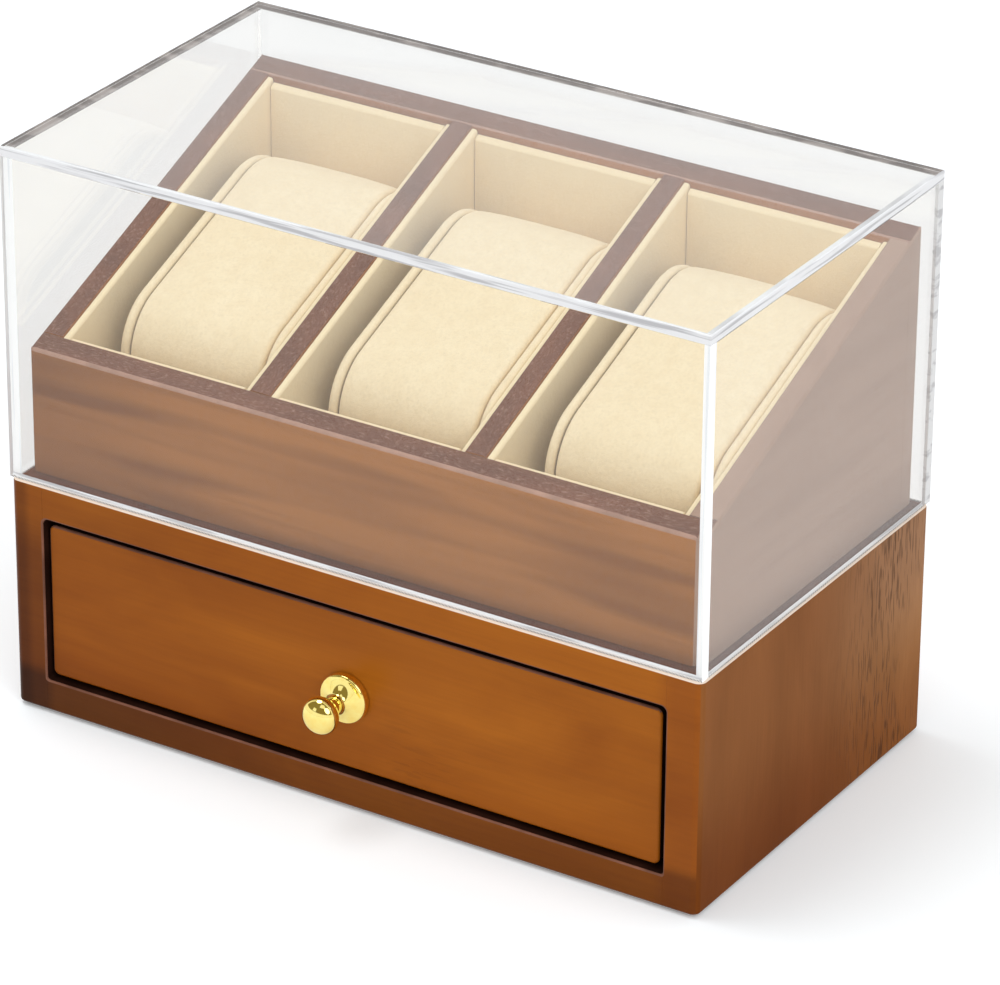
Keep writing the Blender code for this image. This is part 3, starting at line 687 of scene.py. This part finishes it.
def velvet_finish(name, light, dark, nap=1.0):
    """Short, dense nap: fine fibres, soft brushed patches, and a faint sheen."""
    finish, tree, shader, place = new_finish(name, 0.92)
    fibres = grain(tree, place, [2600, 2600, 2600], detail=2.0, roughness=0.7)
    brushed = grain(tree, place, [260, 260, 260], detail=3.0, roughness=0.6)
    patches = grain(tree, place, [34, 34, 34], detail=2.0)
    tone = blend(tree, between(tree, brushed, 0.35, 0.68, 0.0, 0.55 * nap), light, dark)
    tone = blend(tree, between(tree, patches, 0.35, 0.7, 0.0, 0.35 * nap), tone, dark)
    tone = blend(tree, between(tree, fibres, 0.5, 0.8, 0.0, 0.35), tone, dark)
    tufts = grain(tree, place, [1100, 1100, 1100], detail=3.0, roughness=0.6)
    deep = tint(*[part * 0.80 for part in dark[:3]])
    tone = blend(tree, between(tree, tufts, 0.45, 0.72, 0.0, 0.30 * nap), tone, deep)
    sheen = {"Sheen_Weight": 0.25, "Sheen_Roughness": 0.5, "Sheen_Tint": tint(1.0, 0.96, 0.88)}
    feed(tree, shader, Base_Color=tone, Specular_IOR_Level=0.15, **sheen)
    relief = calculate(tree, "ADD", tufts, calculate(tree, "MULTIPLY", brushed, 0.6))
    add_bump(tree, shader, relief, 0.00010)
    return finish


wall_velvet = velvet_finish("wall_velvet", tint(0.95, 0.79, 0.51), tint(0.88, 0.70, 0.43), 0.5)
pillow_velvet = velvet_finish("pillow_velvet", tint(0.95, 0.80, 0.545), tint(0.87, 0.70, 0.44))
groove_shade_velvet = velvet_finish("groove_shade_velvet", tint(0.42, 0.33, 0.20), tint(0.34, 0.26, 0.15))
lining_low, lining_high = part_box("drawer_floor_lining")
drawer_lining = add_block("drawer_velvet", lining_low, lining_high)
round_edges(drawer_lining, rim_of("top"), LINING_EDGE_ROUND, steps=3)
smooth_piece(drawer_lining)
drawer_lining.data.materials.append(wall_velvet)
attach(drawer_lining, "drawer")
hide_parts("drawer_floor_lining")

# The knob is turned from one brass rod and polished: a thick round-edged flange, a hollow flare down to the
# neck, and a flattened ball. A steel screw holds it from inside the drawer.
FLANGE_RADIUS = 0.0076
FLANGE_RIM = 0.0016
FLANGE_ROUND = 0.0009
FLARE = 0.003
NECK_RADIUS = 0.0026
BALL_RADIUS = 0.0057
BALL_HALF_THICKNESS = 0.0042
BALL_REACH = 0.0131
SCREW_BORE_DEPTH = 0.0083
TURN_STEPS = 96
BALL_STEPS = 28
FLARE_STEPS = 12
RIM_STEPS = 6


def knob_outline():
    """Reach from the flange's back and radius, from the back of the rim to the pole of the ball."""
    outline = [(0.0, FLANGE_RADIUS)]
    for step in range(RIM_STEPS + 1):
        angle = math.pi / 2 * step / RIM_STEPS
        radius = FLANGE_RADIUS - FLANGE_ROUND + FLANGE_ROUND * math.cos(angle)
        outline.append((FLANGE_RIM + FLANGE_ROUND * math.sin(angle), radius))
    flare_width = FLANGE_RADIUS - FLANGE_ROUND - NECK_RADIUS
    for step in range(1, FLARE_STEPS + 1):
        share = 1 - step / FLARE_STEPS
        reach = FLANGE_RIM + FLANGE_ROUND + FLARE * (1 - share)
        outline.append((reach, NECK_RADIUS + flare_width * share**2))
    start = -math.acos(NECK_RADIUS / BALL_RADIUS)
    for step in range(BALL_STEPS):
        angle = start + (math.pi / 2 - start) * step / BALL_STEPS
        outline.append((BALL_REACH + BALL_HALF_THICKNESS * math.sin(angle), BALL_RADIUS * math.cos(angle)))
    return outline


def turn_on_lathe(name, outline, place):
    """Draws a disc out along -Y and sizes it at each step of the outline, then closes the pole."""
    bpy.ops.object.select_all(action="DESELECT")
    bpy.ops.mesh.primitive_circle_add(
        vertices=TURN_STEPS,
        radius=outline[0][1],
        fill_type="NGON",
        location=place,
        rotation=(math.pi / 2, 0, 0),
    )
    turned = bpy.context.object
    turned.name = name
    turned.data.name = name
    bpy.ops.object.transform_apply(location=True, rotation=True, scale=True)
    bpy.ops.object.mode_set(mode="EDIT")
    bpy.ops.mesh.select_mode(type="FACE")
    bpy.ops.mesh.select_all(action="SELECT")
    for (reach, radius), (next_reach, next_radius) in zip(outline, outline[1:]):
        bpy.ops.mesh.extrude_region_move(TRANSFORM_OT_translate={"value": (0, reach - next_reach, 0)})
        share = next_radius / radius
        centre = (place.x, place.y - next_reach, place.z)
        bpy.ops.transform.resize(value=(share, 1, share), center_override=centre)
    bpy.ops.mesh.select_all(action="SELECT")
    bpy.ops.mesh.normals_make_consistent(inside=False)
    bpy.ops.object.mode_set(mode="OBJECT")
    return turned


BRASS = tint(1.0, 0.87, 0.31)
BRASS_SMEARED = tint(0.98, 0.78, 0.23)
knob = turn_on_lathe("brass_knob", knob_outline(), Vector((knob_middle.x, knob_high.y, knob_middle.z)))
choose_faces(knob, lambda face: len(face.verts) > 4 and face.normal.y > 0)
bpy.ops.mesh.inset(thickness=FLANGE_RADIUS - SCREW_HOLE_RADIUS, depth=0)
bpy.ops.mesh.extrude_region_move(TRANSFORM_OT_translate={"value": (0, -SCREW_BORE_DEPTH, 0)})
bpy.ops.object.mode_set(mode="OBJECT")
smooth_piece(knob, 40)
brass_finish, tree, shader, place = new_finish("polished_brass", 0.06)
smears = grain(tree, place, [420, 420, 420], detail=3.0)
scratches = grain(tree, place, [3200, 500, 3200], detail=2.0)
colour = blend(tree, between(tree, smears, 0.35, 0.7), BRASS, BRASS_SMEARED)
polish = between(tree, smears, 0.3, 0.7, 0.03, 0.09)
feed(tree, shader, Base_Color=colour, Roughness=polish, Metallic=1.0)
add_bump(tree, shader, scratches, 0.0000015)
knob.data.materials.append(brass_finish)
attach(knob, "drawer")
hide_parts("knob")

ZINC_DARK = tint(0.45, 0.45, 0.47)
ZINC_LIGHT = tint(0.62, 0.62, 0.63)
steel_finish, tree, shader, place = new_finish("zinc_plated_steel", 0.35)
plating = grain(tree, place, [1400, 1400, 1400], detail=3.0)
colour = blend(tree, plating, ZINC_DARK, ZINC_LIGHT)
feed(tree, shader, Base_Color=colour, Roughness=between(tree, plating, 0.3, 0.7, 0.28, 0.42), Metallic=1.0)
add_bump(tree, shader, plating, 0.00001)
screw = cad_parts["knob_screw"]
screw.data.materials.clear()
screw.data.materials.append(steel_finish)

# The rack is glued up from walnut boards whose tops are all cut to one slope. Its faces are sliced veneer
# with quiet dark bands. Its tops are solid, darker and a little open in the grain, with a painted highlight
# along their front edge.
SLOPE_TANGENT = 0.38710
SLOPE_START = Vector((0, -0.0566, 0.1131))
SLOPE_ANGLE = math.atan(SLOPE_TANGENT)
SLOPE_NORMAL = Vector((0, -math.sin(SLOPE_ANGLE), math.cos(SLOPE_ANGLE)))
TOP_EXTRA_TURN = math.radians(0.8)
TOP_ANGLE = SLOPE_ANGLE + TOP_EXTRA_TURN
TOP_NORMAL = Vector((0, -math.sin(TOP_ANGLE), math.cos(TOP_ANGLE)))
RACK_CORNER_ROUND = 0.0015
RACK_TOP_ROUND = 0.001
RACK_INNER_ROUND = 0.0006
VENEER_LIGHT = tint(0.415, 0.156, 0.028)
VENEER_DARK = tint(0.260, 0.090, 0.014)
# Painted reflection: the right-facing veneer is greyer and paler, for the haze the cover reflects over it.
HAZED_CHEEK_LIGHT = tint(0.395, 0.250, 0.180)
HAZED_CHEEK_DARK = tint(0.355, 0.220, 0.155)
SOLID_LIGHT = tint(0.205, 0.076, 0.036)
SOLID_DARK = tint(0.130, 0.046, 0.021)
SPECK = tint(0.42, 0.27, 0.21)
RACK_RIM_HIGHLIGHT = tint(0.50, 0.29, 0.21)
# Painted shade: the rack's front is darker towards the left.
VENEER_PAINTED_SHADE = (
    ((("X", -0.04, -0.112),), tint(0.74, 0.71, 0.74)),
)


def veneer_finish(name, along, light, dark, shades=()):
    """Sliced walnut: soft dark bands along the grain, each fading out, over very faint fibres, and any painted
    shade.
    """
    finish, tree, shader, place = new_finish(name, 0.5)
    bands = grain(tree, place, [9 if a else 95 for a in along], detail=1.0, distortion=0.3)
    fine_bands = grain(tree, place, [16 if a else 330 for a in along], detail=2.0)
    clouds = grain(tree, place, [14, 14, 14], detail=2.0)
    tone = blend(tree, between(tree, bands, 0.50, 0.68), light, dark)
    tone = blend(tree, between(tree, fine_bands, 0.45, 0.70, 0.0, 0.4), tone, dark)
    tone = blend(tree, between(tree, clouds, 0.4, 0.7, 0.0, 0.2), tone, dark)
    tone = shaded(tree, place, tone, shades)
    sanding = between(tree, fine_bands, 0.3, 0.7, 0.45, 0.55)
    feed(tree, shader, Base_Color=tone, Roughness=sanding, Specular_IOR_Level=0.05)
    add_bump(tree, shader, fine_bands, 0.00002)
    return finish


def solid_walnut(name, along):
    """Dark end-sanded walnut, with fine pale specks where the grain is open."""
    finish, tree, shader, place = new_finish(name, 0.5)
    clouds = grain(tree, place, [30 if a else 120 for a in along], detail=4.0)
    fibres = grain(tree, place, [120 if a else 1400 for a in along], detail=3.0)
    specks = grain(tree, place, [700 if a else 2200 for a in along], detail=1.0)
    tone = blend(tree, between(tree, clouds, 0.3, 0.7), SOLID_DARK, SOLID_LIGHT)
    tone = blend(tree, between(tree, fibres, 0.4, 0.75, 0.0, 0.5), tone, SOLID_DARK)
    tone = blend(tree, between(tree, specks, 0.55, 0.70, 0.0, 0.4), tone, SPECK)
    sanding = between(tree, fibres, 0.3, 0.7, 0.42, 0.6)
    feed(tree, shader, Base_Color=tone, Roughness=sanding, Specular_IOR_Level=0.1)
    add_bump(tree, shader, fibres, 0.00004)
    return finish


front_veneer = veneer_finish("front_veneer", ALONG_X, VENEER_LIGHT, VENEER_DARK, VENEER_PAINTED_SHADE)
side_veneer = veneer_finish("side_veneer", ALONG_Y, VENEER_LIGHT, VENEER_DARK)
cheek_veneer_painted_haze = veneer_finish("cheek_veneer_painted_haze", ALONG_Y, HAZED_CHEEK_LIGHT, HAZED_CHEEK_DARK)
cross_walnut = solid_walnut("cross_walnut", ALONG_X)
slope_walnut = solid_walnut("slope_walnut", ALONG_Y)
rack_rim_highlight = plain_stain("rack_rim_highlight", RACK_RIM_HIGHLIGHT, 0.7)


def cut_to_slope(piece, depth, keep_below=True, normal=SLOPE_NORMAL):
    """Saws a block along the rack's slope, so far straight below it."""
    edit_whole(piece)
    bpy.ops.mesh.bisect(
        plane_co=SLOPE_START - Vector((0, 0, depth)),
        plane_no=normal,
        use_fill=True,
        clear_outer=keep_below,
        clear_inner=not keep_below,
    )
    bpy.ops.object.mode_set(mode="OBJECT")


RACK_BOARDS = {
    "rack_front": ("front_rail", (("left", "front"), ("right", "front")), ("front",), ("back",), 0),
    "rack_back": ("back_rail", (("left", "back"), ("right", "back")), ("back",), ("front",), 0),
    "rack_left_side": ("left_cheek", (), ("left",), ("right",), 1),
    "rack_right_side": ("right_cheek", (), ("right",), ("left",), 1),
    "rack_divider_1": ("left_divider", (), (), ("left", "right"), 1),
    "rack_divider_2": ("right_divider", (), (), ("left", "right"), 1),
}
rack_front_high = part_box("rack_front")[1]
rack_back_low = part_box("rack_back")[0]
SPARE = 0.01
for node, (name, corners, outer, inner, lengthwise) in RACK_BOARDS.items():
    low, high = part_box(node)
    if lengthwise:
        low.y = rack_front_high.y + SEAM
        high.y = rack_back_low.y - SEAM
    board = add_block(name, low, high + Vector((0, 0, SPARE)))
    cut_to_slope(board, 0, normal=TOP_NORMAL)
    if corners:
        round_edges(board, edge_between(*corners), RACK_CORNER_ROUND, steps=6)
    if outer:
        round_edges(board, edge_between(*[("top", side) for side in outer]), RACK_TOP_ROUND)
    if not lengthwise:
        round_edges(board, edge_between(("top", "left"), ("top", "right")), RACK_TOP_ROUND)
    round_edges(board, edge_between(*[("top", side) for side in inner]), RACK_INNER_ROUND, steps=3)
    smooth_piece(board)
    if name == "right_cheek":
        wood = (cheek_veneer_painted_haze,)
    elif lengthwise:
        wood = (side_veneer, slope_walnut)
    else:
        wood = (front_veneer, cross_walnut, rack_rim_highlight, cheek_veneer_painted_haze)
    for finish in wood:
        board.data.materials.append(finish)
    if not lengthwise:
        paint(board, cross_walnut, lambda normal: normal.z > 0.3)
        # Painted reflection on the rails' right-facing ends.
        paint(board, cheek_veneer_painted_haze, lambda normal: normal.x > 0.5)
        # Painted highlight on the round front edge of each cross board's top.
        paint(board, rack_rim_highlight, lambda normal: 0.3 < normal.z < 0.9 and normal.y < -0.44)
    elif name != "right_cheek":
        paint(board, slope_walnut, lambda normal: normal.z > 0.3)
    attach(board, "case")
    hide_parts(node)

# Each slot has a thin sloping floor board of plain walnut between the rack's boards. Velvet covers all of it.
for slot in ("left", "middle", "right"):
    floor_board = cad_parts[f"{slot}_slot_floor"]
    floor_board.data.materials.clear()
    floor_board.data.materials.append(side_veneer)

# The slots are lined with card wrapped in cream velvet, one piece for the floor and one for each wall. The
# top edge of a wall piece is soft and round, and the velvet of neighbours meets in a thin dark line.
FLOOR_LINING_TOP_DEPTH = 0.0374
FLOOR_LINING_THICKNESS = 0.0012
FLOOR_LINING_ROUND = 0.0003
WALL_LIFT = 0.0003
WALL_ROUND = 0.00088
WALL_LININGS = {
    "left": ("right", 0.0007),
    "right": ("left", 0.0013),
    "front": ("back", 0.0013),
    "back": ("front", 0.0020),
}
for slot in ("left", "middle", "right"):
    for wall, (inward, drop) in WALL_LININGS.items():
        node = f"{slot}_slot_{wall}_lining"
        low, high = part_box(node)
        lining = add_block(f"{slot}_{wall}_velvet", low, high + Vector((0, 0, SPARE)))
        cut_to_slope(lining, drop, normal=TOP_NORMAL)
        cut_to_slope(lining, FLOOR_LINING_TOP_DEPTH - WALL_LIFT, keep_below=False)
        round_edges(lining, edge_between(("top", inward)), WALL_ROUND, steps=6)
        smooth_piece(lining, 40)
        lining.data.materials.append(wall_velvet)
        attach(lining, "case")
        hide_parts(node)
    node = f"{slot}_slot_floor_lining"
    low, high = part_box(node)
    lining = add_block(f"{slot}_floor_velvet", low, high)
    cut_to_slope(lining, FLOOR_LINING_TOP_DEPTH)
    underside = FLOOR_LINING_TOP_DEPTH + FLOOR_LINING_THICKNESS / math.cos(SLOPE_ANGLE)
    cut_to_slope(lining, underside, keep_below=False)
    round_edges(lining, rim_of("top"), FLOOR_LINING_ROUND, steps=2)
    smooth_piece(lining)
    lining.data.materials.append(wall_velvet)
    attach(lining, "case")
    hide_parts(node)

# A watch pillow is a firm foam roll in cream suede: a wide band wrapped over it with a slight crown, and at
# both ends a narrow piped rim, parted from the band by a sewn groove, round a flat end panel.
TOP_ROUND_SHARE = 0.57
BOTTOM_ROUND_SHARE = 0.36
PILLOW_CROWN = 0.0008
PIPING_RADIUS = 0.0015
SLICE = 0.001
BAND_START = 0.0036
BAND_EDGE_ROUND = 0.0013
BAND_FALL = 0.0014
PANEL_SINK = 0.0006
GROOVE_WALL = 0.0001
PANEL_BORDER = 0.004
PANEL_DISH = 0.0002
SAME_PLACE = 0.00001
CROWN_SHARES = (0.06, 0.14, 0.26, 0.42, 0.62, 0.85)
SECTION_STEPS = 14


def on_slope(node):
    """A node's lowest and highest corner in the slope's own frame: across, along the slope, square to it."""
    along = Vector((0, math.cos(SLOPE_ANGLE), math.sin(SLOPE_ANGLE)))
    corners = [vertex.co - SLOPE_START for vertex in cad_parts[node].data.vertices]
    places = [(corner.x, corner.dot(along), corner.dot(SLOPE_NORMAL)) for corner in corners]
    return Vector(map(min, zip(*places))), Vector(map(max, zip(*places)))


def lay_on_slope(piece):
    """Turns a piece that was made in the slope's own frame into its place on the slope."""
    select_only(piece)
    piece.rotation_euler.x = SLOPE_ANGLE
    piece.location = SLOPE_START
    bpy.ops.object.transform_apply(location=True, rotation=True, scale=True)


def add_roll(name, low, high, thickness, inset):
    """A block whose four long edges are rounded like the pillow's section, drawn in by the inset."""
    inward = Vector((0, inset, inset))
    roll = add_block(name, low + inward, high - inward)
    for level, share, steps in (
        ("top", TOP_ROUND_SHARE, SECTION_STEPS),
        ("bottom", BOTTOM_ROUND_SHARE, SECTION_STEPS // 2),
    ):
        long_edges = edge_between((level, "front"), (level, "back"))
        round_edges(roll, long_edges, share * thickness - inset, steps)
    return roll


def choose_points(piece, accept):
    """Goes into edit mode on a piece and selects the points whose place is accepted."""
    choose_edges(piece, lambda edge: False)
    bpy.ops.mesh.select_mode(type="VERT")
    shape = bmesh.from_edit_mesh(piece.data)
    for vertex in shape.verts:
        vertex.select_set(accept(vertex.co))
    shape.select_flush(True)
    bmesh.update_edit_mesh(piece.data)


def add_piping(name, place, low, high, thickness):
    """A piped rim: one end of a thin slice of the pillow, made a curve with a round bevel."""
    inset = PILLOW_CROWN + PIPING_RADIUS
    slice_low = Vector((place, low.y, low.z))
    slice_high = Vector((place + SLICE, high.y, high.z))
    ring = add_roll(name, slice_low, slice_high, thickness, inset)
    choose_points(ring, lambda point: point.x > place + SLICE / 2)
    bpy.ops.mesh.delete(type="VERT")
    bpy.ops.mesh.select_all(action="SELECT")
    bpy.ops.mesh.delete(type="ONLY_FACE")
    bpy.ops.object.mode_set(mode="OBJECT")
    bpy.ops.object.convert(target="CURVE")
    ring = bpy.context.object
    ring.data.bevel_depth = PIPING_RADIUS
    ring.data.bevel_resolution = 4
    bpy.ops.object.convert(target="MESH")
    return bpy.context.object


def make_pillow(slot):
    """Band, grooves, end panels and piping, joined as they are sewn."""
    low, high = on_slope(f"{slot}_watch_pillow")
    thickness = high.z - low.z
    band_low = Vector((low.x + BAND_START, low.y, low.z))
    band_high = Vector((high.x - BAND_START, high.y, high.z))
    pillow = add_roll(f"{slot}_pillow", band_low, band_high, thickness, PILLOW_CROWN)
    middle = (low.x + high.x) / 2
    half = band_high.x - middle
    places = [share * half for share in CROWN_SHARES]
    for side in (-1, 1):
        for place in places:
            edit_whole(pillow)
            bpy.ops.mesh.bisect(plane_co=(middle + side * (half - place), 0, 0), plane_no=(1, 0, 0))
            bpy.ops.object.mode_set(mode="OBJECT")
    for share, place in zip(CROWN_SHARES, places):
        choose_points(pillow, lambda point: abs(abs(point.x - middle) - (half - place)) < SAME_PLACE)
        bpy.ops.transform.shrink_fatten(value=PILLOW_CROWN * (1 - (1 - share) ** 3))
        bpy.ops.object.mode_set(mode="OBJECT")
    round_edges(pillow, rim_of("left", "right"), BAND_EDGE_ROUND, steps=5)
    choose_faces(pillow, lambda face: abs(face.normal.x) > NEARLY and len(face.verts) > 4)
    bpy.ops.mesh.inset(thickness=BAND_FALL, depth=0)
    bpy.ops.mesh.inset(thickness=GROOVE_WALL, depth=BAND_START - PANEL_SINK)
    bpy.ops.mesh.inset(thickness=PANEL_BORDER, depth=PANEL_DISH)
    bpy.ops.object.mode_set(mode="OBJECT")
    for finish in (pillow_velvet, groove_shade_velvet):
        pillow.data.materials.append(finish)
    # Painted shade: the groove and end panel at the left end are dark velvet.
    for polygon in pillow.data.polygons:
        polygon.material_index = int(polygon.center.x < band_low.x + GROOVE_WALL / 2)
    rims = [
        add_piping(f"{slot}_rim_1", low.x + PIPING_RADIUS, low, high, thickness),
        add_piping(f"{slot}_rim_2", high.x - PIPING_RADIUS, low, high, thickness),
    ]
    bpy.ops.object.select_all(action="DESELECT")
    for rim in rims:
        rim.data.materials.append(pillow_velvet)
        rim.select_set(True)
    pillow.select_set(True)
    bpy.context.view_layer.objects.active = pillow
    bpy.ops.object.join()
    lay_on_slope(pillow)
    bpy.ops.object.shade_smooth_by_angle(angle=math.radians(50))
    return pillow


for slot in ("left", "middle", "right"):
    pillow = make_pillow(slot)
    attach(pillow, f"{slot}_pillow")
    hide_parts(f"{slot}_watch_pillow")

# The cover is five sheets of 3 mm clear cast acrylic, glued at their edges, with polished faces. Light that
# runs inside a sheet comes out at its edges, so the flamed ones look white: this is painted light, pale and
# white edge colours that glow a little. The sawn feet show saw marks.
SHEET_CHAMFER = 0.0003
SHEET_EASE = 0.0001
FOOT_CHAMFER = 0.0007
GLUE_LINE = 0.00002
SAW_PITCH = 0.0011
ACRYLIC_IOR = 1.49
SAWN_WIDTH = 0.0015
cover_top_low, cover_top_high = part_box("cover_top")
CLEAR = tint(0.955, 0.96, 0.957)
CLEAR_SMEARED = tint(0.940, 0.946, 0.944)
# The edge colours and glows below are painted light, for light that runs inside a sheet and leaves at its
# edges.
EDGE_PALE = tint(0.80, 0.81, 0.83)
EDGE_LINE = tint(0.48, 0.48, 0.50)
COLUMN_GREY = tint(0.74, 0.745, 0.75)
BLOTCH_GREY = tint(0.52, 0.52, 0.53)
EDGE_WHITE = tint(0.90, 0.905, 0.91)
EDGE_WHITE_LINE = tint(0.72, 0.74, 0.77)
SAWN_WHITE = tint(0.90, 0.89, 0.87)
SAWN_GREY = tint(0.12, 0.105, 0.10)
PAINTED_REFLECTION_LIGHT = tint(0.36, 0.31, 0.29)
PAINTED_REFLECTION_DARK = tint(0.13, 0.105, 0.095)
LINES_ALONG_EDGE = (28, 28, 900)
LINES_ALONG_COLUMN = (900, 900, 14)
BLOTCHES = (60, 130, 260)
DASHES = (90, 160, 420)


def let_light_through(tree, shader):
    """Lamps and soft light pass straight through, as they do through thin clear sheet."""
    ray = add_step(tree, "ShaderNodeLightPath")
    clear = add_step(tree, "ShaderNodeBsdfTransparent", Color=CLEAR).outputs[0]
    surface = shader.outputs[0]
    for kind in ("Is Diffuse Ray", "Is Shadow Ray"):
        surface = add_step(tree, "ShaderNodeMixShader", i0=ray.outputs[kind], i1=surface, i2=clear).outputs[0]
    feed(tree, tree.nodes["Material Output"], Surface=surface)


def polished_acrylic():
    finish, tree, shader, place = new_finish("clear_acrylic_face", 0.0)
    smears = grain(tree, place, [25, 25, 25], detail=3.0)
    colour = blend(tree, between(tree, smears, 0.5, 0.8), CLEAR, CLEAR_SMEARED)
    feed(tree, shader, Base_Color=colour, Transmission_Weight=1.0, IOR=ACRYLIC_IOR)
    let_light_through(tree, shader)
    return finish


def lines(tree, place, stretch, start):
    return between(tree, grain(tree, place, stretch, detail=2.0), start, start + 0.12)


def saw_strokes(tree, place):
    """Slanting strokes along the outer side of the foot, one for each tooth of the saw."""
    parts = add_step(tree, "ShaderNodeSeparateXYZ", Vector=place)
    slant = calculate(tree, "ADD", parts.outputs["X"], parts.outputs["Y"])
    wave = calculate(tree, "SINE", calculate(tree, "MULTIPLY", slant, 2 * math.pi / SAW_PITCH))
    along, across = (calculate(tree, "ABSOLUTE", parts.outputs[axis]) for axis in ("X", "Y"))
    outside = calculate(
        tree,
        "MAXIMUM",
        calculate(tree, "GREATER_THAN", along, cover_top_high.x - SAWN_WIDTH),
        calculate(tree, "GREATER_THAN", across, cover_top_high.y - SAWN_WIDTH),
    )
    return calculate(tree, "MULTIPLY", between(tree, wave, -0.3, 0.2), outside)


def edge_of_acrylic(name, glow, light, dark, marks, *details):
    """An edge with a painted glow for the light it gathers, with marks where the sheet was worked."""
    finish, tree, shader, place = new_finish(name, 0.35)
    marked = marks(tree, place, *details)
    colour = blend(tree, marked, light, dark)
    worked = between(tree, marked, 0.0, 1.0, 0.28, 0.45)
    feed(tree, shader, Base_Color=colour, Roughness=worked, Specular_IOR_Level=0.2)
    feed(tree, shader, Emission_Color=tint(1, 1, 1), Emission_Strength=glow)
    add_bump(tree, shader, marked, 0.00002)
    let_light_through(tree, shader)
    return finish


clear_face = polished_acrylic()
pale_edge_painted_light = edge_of_acrylic("pale_edge_painted_light", 0.05, EDGE_PALE, EDGE_LINE, lines, LINES_ALONG_EDGE, 0.50)
white_column_painted_glow = edge_of_acrylic(
    "white_column_painted_glow", 0.22, EDGE_WHITE, EDGE_WHITE_LINE, lines, LINES_ALONG_COLUMN, 0.52
)
sawn_edge = edge_of_acrylic("sawn_edge", 0.0, SAWN_WHITE, SAWN_GREY, saw_strokes)
blotched_column_painted_light = edge_of_acrylic("blotched_column_painted_light", 0.02, COLUMN_GREY, BLOTCH_GREY, lines, DASHES, 0.52)
pale_column_painted_light = edge_of_acrylic("pale_column_painted_light", 0.03, EDGE_PALE, EDGE_LINE, lines, LINES_ALONG_COLUMN, 0.54)
# Painted reflection: the left and back edges are brown-grey, for the reflection a clear edge shows.
painted_smoky_reflection = edge_of_acrylic("painted_smoky_reflection", 0.0, PAINTED_REFLECTION_LIGHT, PAINTED_REFLECTION_DARK, lines, BLOTCHES, 0.40)


def finish_sheet(sheet, node):
    """Polished faces, to which the worked edges are painted, on the loose cover."""
    smooth_piece(sheet, 20)
    for finish in (clear_face, pale_edge_painted_light, white_column_painted_glow, sawn_edge, blotched_column_painted_light, pale_column_painted_light, painted_smoky_reflection):
        sheet.data.materials.append(finish)
    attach(sheet, "cover")
    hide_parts(node)


front_sheet_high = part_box("cover_front")[1]
back_sheet_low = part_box("cover_back")[0]
top_sheet = add_block("top_sheet", cover_top_low, cover_top_high)
round_edges(top_sheet, rim_of("top"), SHEET_CHAMFER, steps=2)
finish_sheet(top_sheet, "cover_top")
paint(top_sheet, painted_smoky_reflection, lambda normal: abs(normal.z) < 0.95)
paint(top_sheet, pale_edge_painted_light, lambda normal: abs(normal.z) < 0.95 and (normal.y < -0.05 or normal.x > 0.05))

COVER_WALLS = (
    ("cover_front", "front_sheet", "back", pale_edge_painted_light, {"right": white_column_painted_glow, "left": pale_column_painted_light}),
    ("cover_back", "back_sheet", "front", painted_smoky_reflection, {"right": blotched_column_painted_light}),
    ("cover_left", "left_sheet", "right", painted_smoky_reflection, {"front": white_column_painted_glow}),
    ("cover_right", "right_sheet", "left", pale_edge_painted_light, {"front": white_column_painted_glow, "back": blotched_column_painted_light}),
)
for node, name, inner, upper_edge, ends in COVER_WALLS:
    low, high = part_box(node)
    high.z = cover_top_low.z - GLUE_LINE
    if inner in ("left", "right"):
        low.y = front_sheet_high.y + GLUE_LINE
        high.y = back_sheet_low.y - GLUE_LINE
    sheet = add_block(name, low, high)
    round_edges(sheet, edge_between(("bottom", inner)), FOOT_CHAMFER, steps=1)
    round_edges(sheet, lambda edge: True, SHEET_EASE, steps=1)
    finish_sheet(sheet, node)
    paint(sheet, upper_edge, lambda normal: normal.z > 0.95)
    for end, finish in ends.items():
        paint(sheet, finish, lambda normal: normal.dot(FACINGS[end]) > 0.5)
    paint(sheet, pale_edge_painted_light, lambda normal: -0.95 < normal.z < -0.3)
    paint(sheet, sawn_edge, lambda normal: normal.z < -0.95)
